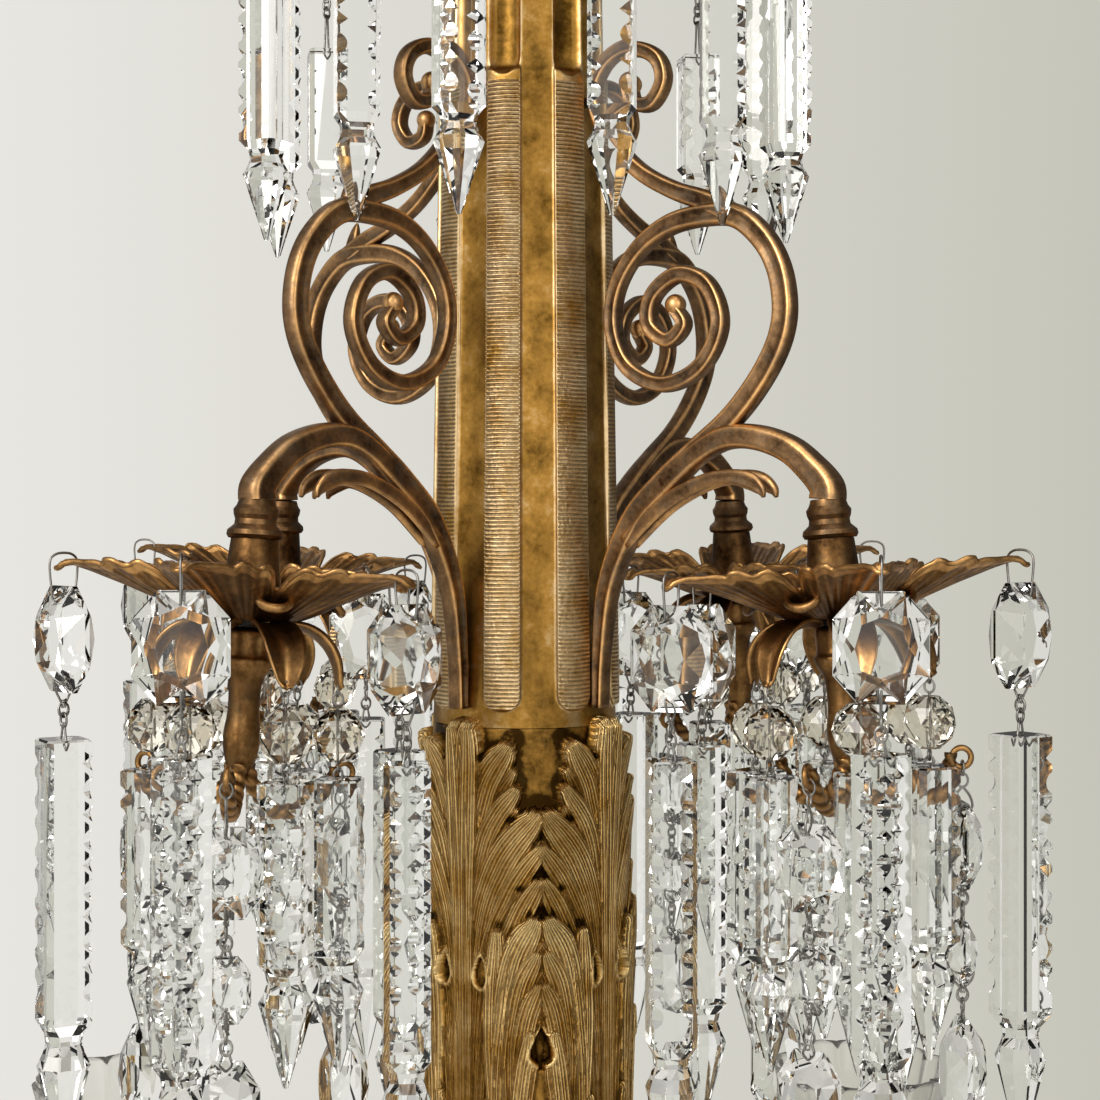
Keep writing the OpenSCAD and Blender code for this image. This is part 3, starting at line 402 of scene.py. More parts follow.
def vase():
    step = 0.5
    core = 38.0
    angles = np.radians(np.arange(0, 360, 0.75))
    heights = np.concatenate([np.arange(-784, -735, 1.0), np.arange(-735, -500, step), [-500.0]])
    profile = [(-784, 44), (-779, 44), (-776, 41.5), (-773, 38.5), (-769, 40), (-765, 42), (-761, 40), (-757, 36),
               (-754, 30), (-751, 24.5), (-746, 24), (-741, 26), (-732, 30), (-723, 34), (-708, 36.6), (-695, 38),
               (-600, 37.6), (-540, 37.2), (-520, 36.8), (-505.5, 36.5), (-504.5, 35.4), (-500, 35.2)]
    base = np.interp(heights, [p[0] for p in profile], [p[1] for p in profile])
    n = len(angles) // 4
    sector = np.degrees(angles[:n])
    # Surface millimetres of one quarter, with its edges wrapped
    u = np.repeat(sector[None, :], len(heights), 0)
    v = np.repeat(heights[:, None], n, 1)
    best = np.zeros(u.shape)
    rib = np.zeros(u.shape)
    chased = np.zeros(u.shape)
    shade = np.zeros(u.shape)
    scale = math.radians(1) * core
    strokes = []
    for s in leaf_strokes():
        strokes.append(s)
        p = s["path"]
        # Two small side tips make each lobe's end ragged
        mid, end = p[int(len(p) * 0.62)], p[-1]
        along = (end - mid) * np.array([scale, 1])
        along = along / np.linalg.norm(along)
        aside = np.array([-along[1] / scale, along[0]])
        for sign in (1, -1):
            tip = end + sign * aside * s["width"] * 0.8 - (end - mid) * 0.22
            strokes.append({"path": spline([p[int(len(p) * 0.5)], mid + sign * aside * 1.5, tip], 6),
                            "width": s["width"] * 0.55, "lift": s["lift"] * 0.72, "layer": s["layer"] - 0.3})
    for s in strokes:
        p = s["path"]
        for wrap in (-90, 0, 90):
            q = p + np.array([wrap, 0])
            if q[:, 0].max() < -12 or q[:, 0].min() > 102:
                continue
            dist = np.full(u.shape, 1e9)
            side = np.zeros(u.shape)
            param = np.zeros(u.shape)
            for i in range(len(q) - 1):
                a, b = q[i], q[i + 1]
                ex, ez = (b[0] - a[0]) * scale, b[1] - a[1]
                px, pz = (u - a[0]) * scale, v - a[1]
                t = np.clip((px * ex + pz * ez) / (ex * ex + ez * ez), 0, 1)
                dx, dz = px - t * ex, pz - t * ez
                dd = np.hypot(dx, dz)
                near = dd < dist
                dist = np.where(near, dd, dist)
                side = np.where(near, (ex * pz - ez * px) / math.hypot(ex, ez), side)
                param = np.where(near, (i + t) / (len(q) - 1), param)
            # Lobes widen from the stem to a scalloped end that leans over
            width = s["width"] * (0.35 + 0.65 * np.clip(param / 0.72, 0, 1) ** 1.3)
            width = width * (1 - 0.42 * np.clip((param - 0.82) / 0.18, 0, 1) ** 2)
            fan = side / width
            width = width * (1 + 0.09 * np.cos(2 * math.pi * 2.0 * fan) * np.clip((param - 0.7) / 0.3, 0, 1))
            inside = np.clip(dist / width, 0, 1)
            # A spoon: its edges and tip stand up, with coarse flutes along it
            rise = 1.0 + (s["lift"] - 1.0) * param ** 2.0
            across = np.clip(1 - inside ** 4, 0, 1) ** 0.5 * (0.9 + 0.1 * inside ** 2)
            flutes = 0.32 * np.cos(2 * math.pi * 1.5 * fan) * (1 - inside) ** 0.5
            h = (rise * across + flutes + s["layer"]) * (inside < 1)
            higher = h > best
            best = np.where(higher, h, best)
            rib = np.where(higher, fan * s["width"] / 1.15, rib)
            chased = np.where(higher, (inside < 0.93) * 1.0, chased)
            # The leaning tip casts a painted shadow on what lies above it
            if s["lift"] > 4.2:
                lean = (q[-1] - q[-3]) * np.array([scale, 1])
                lean = lean / np.linalg.norm(lean) * s["width"] * 0.75
                gap = np.hypot((u - q[-1, 0]) * scale - lean[0], v - q[-1, 1] - lean[1] * 1.1) / (s["width"] * 0.62)
                shade = np.maximum(shade, np.exp(-gap ** 4) * (1 - (inside < 1)))
    # Teardrop eyelets where lobes part
    for a, zc, w, l in [(45, -626, 3.7, 6.0), (12, -598, 2.6, 5.6), (78, -598, 2.6, 5.6)]:
        e = np.hypot((u - a) * scale / (w * (1 - 0.4 * np.clip((v - zc) / l, -0.4, 1))), (v - zc) / l)
        ring = np.exp(-((e - 1.15) / 0.22) ** 2)
        best = np.where(e < 1, best * 0.15, best) + 1.2 * ring
        chased = np.where(e < 1.3, 0, chased)
    # A smooth strip runs down from the middle eyelet
    strip = np.clip(1 - ((u - 45) * scale / 3.9) ** 2, 0, 1) ** 0.5 * np.clip((-633 - v) / 2, 0, 1)
    bare = (best < 0.3) & (v > -545) | (strip * 3.2 > best)
    best = np.maximum(best, strip * 3.2)
    best = best * np.clip((v + 752) / 10, 0, 1)
    full = np.tile(best, (1, 4))
    soft = full.copy()
    for _ in range(40):
        soft = (np.roll(soft, 1, 0) + np.roll(soft, -1, 0) + np.roll(soft, 1, 1) + np.roll(soft, -1, 1) + soft) / 5
    # Painted shade and highlight: the relief is darker where it lies below its blurred self, lighter where it stands
    # over it and where it stands high, the shadow mark darkens the ground above the leaning tips, and the bare ground
    # is made a little darker
    wear_and_shade = 0.6 + (full - soft) * 0.24 + (full - 4) * 0.04 - 0.5 * np.tile(shade, (1, 4)) * (full < 5)
    wear_and_shade = np.clip(wear_and_shade - 0.12 * np.tile(bare, (1, 4)), 0, 1)
    wear_and_shade = np.where(np.tile(v, (1, 4)) < -752, 0.5, wear_and_shade)
    # Narrow the rise so that no lobe stands out past the solid's leaves
    r = base[:, None] + np.minimum(full, 7.4)
    points = turned_grid(r, heights, angles + math.radians(COLUMN_TURN))
    data = mesh_data("vase_carved", points, quads(len(heights), len(angles), True), CARVED_BRASS,
                     marks={"rib": np.tile(rib, (1, 4)).ravel(), "chased": np.tile(chased, (1, 4)).ravel(),
                            "wear_and_shade": wear_and_shade.ravel()})
    place("vase_carved", data, "gilt_brass", stands_for=["acanthus_vase"])


# Brackets: cast scrolls, swept on the same paths as the solids, with a grooved oval section

SCROLL = [
    (39, -78, 5, 8), (39.6, -56, 6.5, 8), (43.5, -30, 8.5, 9), (55.5, -6, 10, 10), (70.5, 8.5, 10.5, 10),
    (85, 20, 10, 9), (98, 30, 9, 8), (108, 39.5, 9, 8), (117, 51, 9, 8), (122.5, 62, 9, 8),
    (124, 73, 9, 8), (121.5, 86, 9, 8), (115, 97, 9, 8), (104, 106, 9, 8), (91, 108, 8.5, 8),
    (73, 106, 8, 7.5), (58, 98, 7, 7), (47.5, 84, 6.5, 7), (45.5, 68, 6.5, 7), (53, 53, 6.5, 7),
    (70, 46, 6.5, 7), (87, 52, 6.5, 7), (95.5, 67, 6.5, 7), (90, 82, 6.5, 7), (77, 87, 6.5, 7),
    (65, 80, 6.5, 7), (63, 69, 6.5, 7), (72, 62.5, 6, 7), (79, 68, 5.5, 7), (75, 74, 5, 7)]
TOP_BRANCH = [
    (104, 106, 8, 7), (90, 113, 8, 7), (74, 119, 7, 7), (58, 128, 6.5, 7), (44, 142, 6.5, 7),
    (36.76, 158, 6.5, 7), (43, 170, 6, 7), (55, 174.5, 6, 7), (66, 170, 6, 7), (69.5, 161, 6, 7),
    (64, 153, 6, 7), (56, 154, 5.5, 7), (54, 160, 5, 7)]
ARM = [
    (70.5, 8.3, 8, 8), (85, 19, 8.6, 9), (98, 25, 9, 9.5), (112, 25, 9.4, 10), (126, 20.5, 10, 10.4),
    (136, 13, 10.8, 11), (141.667, 6.876, 11.6, 11.6), (142.051, 2.493, 12, 12)]
SPRIG = [(53, -14, 6, 3.5), (71, 0.5, 6, 3.5), (90, 9, 5.4, 3.5), (103, 10.6, 5.8, 3.6), (111, 9.2, 6.6, 3.4),
         (116, 6.2, 4.6, 3), (117.6, 3.2, 1.2, 2)]
SPROUT = [(99, 106, 7, 5.2), (97.5, 113, 6, 4.4), (95.8, 118.6, 3.6, 3), (94.9, 121.6, 0.9, 0.9)]
SCROLL_BALLS = [(75, 75.6, 4.1), (54.2, 161, 4.0)]


def cast_bar(path, groove_shade=0.3, steps=6, sides=32):
    """A cast bar along (radius, height, width, thickness), with a broad hollow down each flat side."""
    p = spline(path, steps)
    t = (np.arange(sides) + 0.5) / sides * 2 * math.pi
    # A squared oval; the hollow lies on the two faces that look sideways, between two ridges
    square = 1 / (np.abs(np.cos(t)) ** 3 + np.abs(np.sin(t)) ** 3) ** (1 / 3)
    hollow = np.exp(-(np.cos(t) * square / 0.5) ** 4)
    dent = square * (1 - groove_shade * hollow)
    section = np.stack([p[:, 2:3] / 2 * np.cos(t) * square, p[:, 3:4] / 2 * np.sin(t) * dent], -1)
    points, faces = sweep(np.stack([p[:, 0], 0 * p[:, 0], p[:, 1] + DATUM_Z], -1), section, side=(0, 1, 0))
    # Lighter along the ridges, as rubbed wear and painted highlight, and darker down the hollow, as painted shade
    ridge_wear_and_shade = np.tile(0.36 + 0.56 * np.exp(-((np.abs(np.cos(t)) * square - 0.74) / 0.13) ** 2) - 0.08 * hollow, len(p))
    return points, faces, ridge_wear_and_shade


def ball(centre, r, rows=12, cols=20):
    a = np.linspace(0.02, math.pi - 0.02, rows)
    b = np.arange(cols) / cols * 2 * math.pi
    g = np.stack([np.outer(np.sin(a), np.cos(b)), np.outer(np.sin(a), np.sin(b)), np.outer(np.cos(a), np.ones(cols))], -1)
    faces = quads(rows, cols, True) + [list(range(cols - 1, -1, -1)), list(range((rows - 1) * cols, rows * cols))]
    faces = [f[::-1] for f in faces]
    return g.reshape(-1, 3) * r + np.array(centre), faces


def sprig_leaf(side):
    """The split leaf under an arm: a hollowed blade whose end turns down like a beak."""
    p = spline(SPRIG, 6)
    t = (np.arange(20) + 0.5) / 20 * 2 * math.pi
    # Hollow on the outer flat, with a lighter edge above and below, as rubbed wear and painted highlight
    dent = 1 - 0.42 * np.exp(-((t - (math.pi / 2 if side > 0 else math.pi * 1.5)) / 0.55) ** 2)
    section = np.stack([p[:, 2:3] / 2 * np.cos(t), p[:, 3:4] / 2 * np.sin(t) * dent], -1)
    path = np.stack([p[:, 0], 2.9 * side + 0.02 * side * (p[:, 0] - 53), p[:, 1] + DATUM_Z], -1)
    points, faces = sweep(path, section, side=(0, 1, 0))
    return points, faces, np.tile(0.32 + 0.5 * np.abs(np.cos(t)) ** 2, len(p))


def brackets():
    parts = [cast_bar(SCROLL, steps=8), cast_bar(TOP_BRANCH), cast_bar(ARM, 0.1), cast_bar(SPROUT, 0.0),
             sprig_leaf(1), sprig_leaf(-1)]
    for r, h, size in SCROLL_BALLS:
        p, f = ball((r, 0, DATUM_Z + h), size)
        parts.append((p, f, np.full(len(p), 0.72)))
    points, faces = joined([(p, f) for p, f, _ in parts])
    wear_and_shade = np.concatenate([w for _, _, w in parts])
    data = mesh_data("bracket_cast", points, faces, BRONZE, marks={"wear_and_shade": wear_and_shade})
    for i, dish in enumerate(DISHES):
        place(f"bracket_cast_{dish}", data, "bronze", turn=90 * i, stands_for=[f"bracket_{dish}"])


# Leaf dishes, in a dish's own tilted frame

def dish_point(i, p):
    a = math.radians(DISH_TILT)
    x = DISH_R + p[0] * math.cos(a) - p[2] * math.sin(a)
    z = DISH_Z + p[0] * math.sin(a) + p[2] * math.cos(a)
    t = math.radians(90 * i)
    return np.array([x * math.cos(t) - p[1] * math.sin(t), x * math.sin(t) + p[1] * math.cos(t), z])


def at_dish(name, data, slot, i, **more):
    place(name, data, slot, at=tuple(dish_point(i, (0, 0, 0))), turn=90 * i, tilt=-DISH_TILT, **more)


def leaf_edge(off):
    """The dish's edge radius at off degrees from a leaf's middle, for off up to 36."""
    return np.interp(np.abs(off), [0, 1.6, 4, 7, 10, 12.5, 14, 16, 18.5, 21, 23, 25, 27.5, 30, 33, 36],
                     [67.0, 66.3, 61.5, 57.5, 54.8, 52.2, 51.0, 51.2, 49.8, 46.8, 43.6, 43.2, 42.0, 38.6, 32, 24.5])


def eyelet(k):
    """The rolled ring and a hollow coloured dark as painted shade where two leaves meet; it faces outwards and a little
    up.
    """
    a = math.radians(LEAF_TURN + 36 + 72 * k)
    out, aside = np.array([math.cos(a), math.sin(a), 0]), np.array([-math.sin(a), math.cos(a), 0])
    face, up = 0.82 * out + [0, 0, 0.57], -0.57 * out + [0, 0, 0.82]
    q = np.arange(28) / 28 * 2 * math.pi
    centre = out * 29.2 + [0, 0, -6.6]
    loop = centre + np.outer(5.6 * np.cos(q), aside) + np.outer(3.9 * np.sin(q), up)
    # The lip is thicker below than above
    b = np.arange(10) / 10 * 2 * math.pi
    tube = 0.95 + 0.4 * (1 - np.sin(q))
    away = (loop - centre) / np.linalg.norm(loop - centre, axis=1)[:, None]
    lip = (loop[:, None] + away[:, None] * (tube[:, None] * np.cos(b))[..., None]
           + face * (tube[:, None] * np.sin(b))[..., None])
    n = len(q)
    lip_faces = [[v % (n * 10) for v in f] for f in quads(n + 1, 10, True)]
    rings = [centre + (loop - centre) * s - face * d for s, d in ((0.96, 0.3), (0.75, 1.8), (0.45, 2.6), (0.06, 2.9))]
    hollow = (np.concatenate(rings), quads(4, n, True) + [list(range(3 * n, 4 * n))])
    # The lip is lighter; the hollow is coloured near black as painted shade
    wear_and_shade = np.concatenate([np.full(n * 10, 0.62), np.repeat([0.1, 0.0, 0.0, 0.0], n)])
    return joined([(lip.reshape(-1, 3), lip_faces), hollow]), wear_and_shade


def leaf_dish():
    rows, cols, inner = 40, 900, 9.0
    phi = np.arange(cols) / cols * 360
    off = (phi - LEAF_TURN + 36) % 72 - 36
    edge = leaf_edge(off)
    for _ in range(2):
        edge = (np.roll(edge, 1) + 2 * edge + np.roll(edge, -1)) / 4
    u = np.linspace(0, 1, rows)[:, None]
    r = inner + (edge[None, :] - inner) * u
    bowl = np.interp(r, [9, 15, 19, 24, 30, 42, 54, 61, 64.5, 67.2], [-12.8, -12.8, -12.0, -10.2, -7.6, -3.0, 1.0, 2.8, 2.4, -0.4])
    # Leaves are cupped: towards their edges they rise over their midribs in rounded lobes
    stand = np.interp(np.abs(off), [0, 3, 7, 11, 13.5, 16, 19, 21.5, 24, 27.5, 31, 36],
                      [0, 0.2, 1.3, 2.4, 2.6, 4.2, 4.8, 4.2, 6.0, 7.2, 6.6, 2.0])
    z = bowl + stand[None, :] * u ** 2.2
    reach = np.clip((r - 14) / 20, 0, 1)
    lateral = r * np.sin(np.radians(off[None, :]))
    vein = np.exp(-(lateral / 1.2) ** 2) * np.clip((r - 16) / 12, 0, 1)
    fan = np.cos(np.radians(off[None, :]) * 2 * math.pi * 17 / 1.2566 / 2) ** 2
    z = z + 0.9 * vein + 0.42 * fan * reach * (1 - vein) * (1 - u ** 6)
    a = np.radians(phi)[None, :]
    x, y = r * np.cos(a), r * np.sin(a)
    top = np.stack([x, y, z], -1).reshape(-1, 3)
    # Thickness goes outwards too, because the lobes stand steep
    lean = 1.2 * reach
    under = np.stack([x + lean * np.cos(a) * (1 - u ** 8), y + lean * np.sin(a) * (1 - u ** 8), z - 1.5], -1).reshape(-1, 3)
    n = rows * cols
    rim = [[(rows - 1) * cols + j, (rows - 1) * cols + (j + 1) % cols,
            n + (rows - 1) * cols + (j + 1) % cols, n + (rows - 1) * cols + j] for j in range(cols)]
    hole = [[j, (j + 1) % cols, n + (j + 1) % cols, n + j] for j in range(cols)]
    grid = quads(rows, cols, True)
    # Veins, ribs and the outer band are lighter, as rubbed wear and painted highlight
    wear_and_shade = np.clip(0.34 + 0.3 * vein + 0.16 * fan * reach + 0.35 * (u > 0.92), 0, 1)
    # The edge is rolled thick and coloured lighter, as rubbed wear and painted highlight
    line = np.stack([edge * np.cos(a[0]), edge * np.sin(a[0]), z[-1] - 0.75], -1)[::2]
    roll = sweep(line, ring_section(0.95), closed=True)
    parts = [((np.concatenate([top, under])), grid + [[v + n for v in f[::-1]] for f in grid] + rim + hole), roll]
    marks = [np.tile(wear_and_shade.ravel(), 2), np.full(len(roll[0]), 0.66)]
    # The plain neck that rises to the collar
    p = spline([(8.2, 14), (8.8, 8), (9.4, 2), (10.6, -5), (13.4, -12.8)], 5)
    angles = np.arange(64) / 64 * 2 * math.pi
    parts.append((turned_grid(np.repeat(p[:, :1], 64, 1), p[:, 1], angles), quads(len(p), 64, True)))
    marks.append(np.full(len(p) * 64, 0.26))
    for k in range(5):
        ring, ring_wear_and_shade = eyelet(k)
        parts.append(ring)
        marks.append(ring_wear_and_shade)
    points, faces = joined(parts)
    data = mesh_data("leaf_dish", points, faces, COPPER_BRONZE, marks={"wear_and_shade": np.concatenate(marks)})
    for i, dish in enumerate(DISHES):
        at_dish(f"leaf_dish_{dish}", data, "bronze", i, stands_for=["drop_dishes"] if i == 0 else ())


def blade(line, widths, cup, rows=26, cols=13, thick=1.2):
    """A curved leaf blade in the X-Z plane: line is (x, z), widths across it, cup how far its edges bend in."""
    p = spline(line, 8)
    s = np.linspace(0, 1, len(p))
    pick = np.linspace(0, len(p) - 1, rows)
    x, z = np.interp(pick, np.arange(len(p)), p[:, 0]), np.interp(pick, np.arange(len(p)), p[:, 1])
    w = np.interp(np.linspace(0, 1, rows), np.linspace(0, 1, len(widths)), widths)
    tx, tz = np.gradient(x), np.gradient(z)
    norm = np.hypot(tx, tz)
    nx, nz = tz / norm, -tx / norm
    v = np.linspace(-1, 1, cols)
    bend = cup * w[:, None] / 2 * v[None, :] ** 2 - 0.7 * np.exp(-(v[None, :] / 0.16) ** 2)
    px = x[:, None] - nx[:, None] * bend
    pz = z[:, None] - nz[:, None] * bend
    py = w[:, None] / 2 * v[None, :]
    a = np.stack([px, py, pz], -1).reshape(-1, 3)
    b = np.stack([px - nx[:, None] * thick, py, pz - nz[:, None] * thick], -1).reshape(-1, 3)
    n = rows * cols
    g = quads(rows, cols)
    faces = g + [[q + n for q in f[::-1]] for f in g]
    border = ([j for j in range(cols)] + [i * cols + cols - 1 for i in range(1, rows)]
              + [(rows - 1) * cols + j for j in range(cols - 2, -1, -1)] + [i * cols for i in range(rows - 2, 0, -1)])
    faces += [[border[k], n + border[k], n + border[(k + 1) % len(border)], border[(k + 1) % len(border)]]
              for k in range(len(border))]
    # Midrib, edges and tip are lighter, as rubbed wear and painted highlight
    wear_and_shade = np.clip(0.35 + 0.4 * np.exp(-(v / 0.2) ** 2)[None, :] + 0.3 * (np.abs(v) > 0.85)[None, :]
                   + 0.2 * np.linspace(0, 1, rows)[:, None], 0, 1)
    return a, b, faces, np.tile(wear_and_shade.ravel(), 2)


def husks():
    parts, marks = [], []
    for k in range(6):
        a, b, faces, wear_and_shade = blade([(9, -16.6), (15, -16.2), (21, -17.8), (26, -21.5), (29.3, -26.5), (30.8, -31),
                                   (31.6, -34.6), (33, -36.4)], [7, 11, 14.5, 15.5, 15, 12.5, 9, 6, 3.6], 0.3)
        parts.append(moved((np.concatenate([a, b]), faces), turn=PETAL_TURN + 60 * k))
        marks.append(wear_and_shade)
    points, faces = joined(parts)
    data = mesh_data("husk_petals", points, faces, COPPER_BRONZE, marks={"wear_and_shade": np.concatenate(marks)})
    for i, dish in enumerate(DISHES):
        at_dish(f"husk_petals_{dish}", data, "bronze", i, stands_for=["petal_husks"] if i == 0 else ())


def hooks():
    """Rope-twisted hooks on a turned hub; the twist is two strands, one turn in 9 mm."""
    parts = []
    p = spline([(5.1, -16.5), (8, -18.3), (8, -25.6), (9.2, -28), (8, -31.4), (6.4, -34), (5.6, -38), (5.5, -46),
                (6.4, -53), (6.2, -58), (5, -63), (3, -66.4), (0.3, -67.2)], 4)
    angles = np.arange(48) / 48 * 2 * math.pi
    parts.append((turned_grid(np.repeat(p[:, :1], 48, 1), p[:, 1], angles), quads(len(p), 48, True)))
    t = np.radians(np.linspace(185, 353, 90))
    path = np.stack([20 + 17 * np.cos(t), 0 * t, -62 + 17 * np.sin(t)], -1)
    arc_mm = 17 * (t - t[0])
    around = np.arange(16) / 16 * 2 * math.pi
    twist = arc_mm[:, None] / 9 * 2 * math.pi
    size = (2.1 + 0.8 * np.abs(np.cos(around[None, :] + twist))) * np.interp(arc_mm, [0, 40, 50], [1, 1, 0.8])[:, None]
    section = np.stack([size * np.cos(around), size * np.sin(around)], -1)
    rope = sweep(path, section, side=(0, 1, 0))
    q = np.radians(np.arange(0, 360, 12))
    ring = sweep(np.stack([HOOK_RING[0] + 3.4 * np.cos(q), 0 * q, HOOK_RING[1] + 3.4 * np.sin(q)], -1),
                 ring_section(1.1), side=(0, 1, 0), closed=True)
    marks = [np.full(len(parts[0][0]), 0.45)]
    # The strands' crests are lighter and the grooves between them darker: rubbed wear, painted highlight and painted
    # shade
    strand = np.clip(0.25 + (size - 2.1) * 0.6, 0, 1).ravel()
    for k in range(3):
        parts += [moved(rope, turn=HOOK_TURN + 120 * k), moved(ring, turn=HOOK_TURN + 120 * k)]
        marks += [strand, np.full(len(ring[0]), 0.6)]
    points, faces = joined(parts)
    data = mesh_data("twisted_hook_cluster", points, faces, COPPER_BRONZE, marks={"wear_and_shade": np.concatenate(marks)})
    for i, dish in enumerate(DISHES):
        at_dish(f"twisted_hooks_{dish}", data, "bronze", i, stands_for=["twisted_hooks"] if i == 0 else ())


# Cut glass

def cut_octagon(w, h, table=0.56, deep=0.19):
    """An octagon drop with faces towards +X and -X, hung from z = 0: a table and sixteen facets on each side."""
    corners = [(0.24, 0), (0.5, -0.25), (0.5, -0.75), (0.24, -1), (-0.24, -1), (-0.5, -0.75), (-0.5, -0.25), (-0.24, 0)]
    points, faces = [], []
    for base, s in ((0, 1), (16, -1)):
        edge = np.array([(0.9 * s, c[0] * w, c[1] * h) for c in corners])
        # The table's corners stand over the middles of the outline's edges
        tops = (edge + np.roll(edge, -1, 0)) / 2
        tops = np.array([0, 0, -h / 2]) + (tops - [0, 0, -h / 2]) * table
        tops[:, 0] = h * deep * s
        points += [tuple(p) for p in np.concatenate([edge, tops])]
        new = []
        for i in range(8):
            j = (i + 1) % 8
            new += [[base + i, base + j, base + 8 + i], [base + j, base + 8 + j, base + 8 + i]]
        new.append([base + 8 + i for i in range(8)])
        faces += new if s < 0 else [f[::-1] for f in new]
    faces += [[i, (i + 1) % 8, 16 + (i + 1) % 8, 16 + i] for i in range(8)]
    return points, faces


def notch_cuts(length):
    """(height, depth) of the cuts along a notched ridge: diamonds and rounds in turn, 8.7 mm apart."""
    cuts = []
    middle, turn = -8.0, 0
    while middle > -length + 5.5:
        if turn % 2:
            # A round cut: the wheel's rim leaves an arc 2.4 mm deep and 7.8 mm long
            cuts += [(middle + h, 2.4 - (4.4 - math.sqrt(4.4 ** 2 - h * h))) for h in (3.8, 3.2, 2.2, 1.1, 0, -1.1, -2.2, -3.2, -3.8)]
        else:
            cuts += [(middle + 2.6, 0), (middle, 2.6), (middle - 2.6, 0)]
        middle -= 8.7
        turn += 1
    return cuts


def cut_spear(length, head):
    """A spear hung from z = 0: a square bar on its corner with notched ridges at +-X and bevelled ones at +-Y."""
    f = SPEAR_W / 2
    neck = length - head
    rings = []

    def ring(z, half, bevel, notch):
        reach = half * 1.414
        b, n = max(bevel, 0.12), max(notch, 0.12)
        return [
            (reach - n, -n, z), (reach - n, n, z), (b, reach - b, z), (-b, reach - b, z),
            (-reach + n, n, z), (-reach + n, -n, z), (-b, -reach + b, z), (b, -reach + b, z)]

    rings += [ring(0, f - 0.7, 1.2, 0.5), ring(-0.7, f, 1.4, 0.1)]
    rings += [ring(z, f, 1.4, n) for z, n in notch_cuts(neck)]
    h = head / 39
    rings += [ring(-neck, f, 1.4, 0.3), ring(-neck - 3.4 * h, f * 0.76, 1.8, 1.6), ring(-neck - 6.2 * h, f * 0.72, 2.0, 2.0),
              ring(-neck - 9.0 * h, f * 0.84, 2.6, 2.6), ring(-neck - 12.6 * h, f * 1.08, 3.3, 3.3),
              ring(-length + 0.3, 0.95, 0.6, 0.6)]
    points = [p for r in rings for p in r]
    n = len(points)
    faces = quads(len(rings), 8, True) + [list(range(8)), list(range(n - 1, n - 9, -1))]
    return points, faces


def cut_bead(r, height):
    """A bead with flat ends and four rows of facets, eight round."""
    rows = [(-1.0, 0.4), (-0.6, 0.82), (0.0, 1.0), (0.6, 0.82), (1.0, 0.4)]
    points, n = [], 8
    for i, (z, q) in enumerate(rows):
        for k in range(n):
            a = (k + 0.5 * (i % 2)) / n * 2 * math.pi
            points.append((r * q * math.cos(a), r * q * math.sin(a), height / 2 * z))
    faces = []
    for i in range(len(rows) - 1):
        for k in range(n):
            a, b = i * n + k, i * n + (k + 1) % n
            c, d = (i + 1) * n + k, (i + 1) * n + (k + 1) % n
            faces += [[a, b, d], [a, d, c]] if i % 2 else [[a, b, c], [b, d, c]]
    faces += [list(range(n - 1, -1, -1)), list(range((len(rows) - 1) * n, len(rows) * n))]
    return points, faces


def wire_path(points, n=6, r=0.45):
    return sweep(spline(points, n), ring_section(r, 6))


def wire_loop(z, size=2.6, across="x"):
    """A closed wire eye centred at height z."""
    q = np.radians(np.arange(0, 360, 18))
    c, s = size * 0.8 * np.cos(q), size * np.sin(q)
    path = np.stack([c, 0 * q, z + s], -1) if across == "x" else np.stack([0 * q, c, z + s], -1)
    return sweep(path, ring_section(0.42, 6), side=(0, 1, 0) if across == "x" else (1, 0, 0), closed=True)


def link(top, foot):
    """Wire from the hole over one piece's foot to the hole under the next one's top.

    Two strands come out on both faces, are wound together below the edge, and end in two caught eyes.
    """
    mid = (top + foot) / 2
    parts = []
    for s in (1, -1):
        parts.append(wire_path([(0, 0, top + 4.8), (3.6 * s, 0, top + 4.7), (3.4 * s, 0, top + 1.5),
                                (1.0 * s, 0, mid + 4.6), (0.4 * s, 0, mid + 2.6)], 5))
        parts.append(wire_path([(0, 0.5 * s, mid - 2.4), (0, 1.3 * s, foot + 1.2), (0, 1.9 * s, foot - 1.6),
                                (0, 0, foot - 3.8)], 5))
    for lift in (0, 0.7):
        parts += [wire_loop(mid + 1.9 + lift / 2, 2.5 - lift / 2), wire_loop(mid - 1.5 - lift / 2, 2.4, "y")]
    t = np.linspace(0, 2.5 * 2 * math.pi, 32)
    parts.append(wire_path(np.stack([0.8 * np.cos(t), 0.8 * np.sin(t), mid + 4 + t * 0.1], -1), 1, 0.3))
    return parts


def hang_bow(hole):
    """The long wire bow round a leaf's tip and through the octagon's hole."""
    half = spline([(0, 3.4), (2.6, 3.1), (4.7, 1.8), (5.4, -0.4), (5.3, -3.6), (4.9, -7.2), (4.3, hole + 0.9), (3.2, hole),
                   (0, hole - 0.2)], 5)
    loop = np.concatenate([half, (half * [-1, 1])[-2:0:-1]])
    return sweep(np.stack([loop[:, 0], 0 * loop[:, 0], loop[:, 1]], -1), ring_section(0.45, 6), side=(0, 1, 0), closed=True)


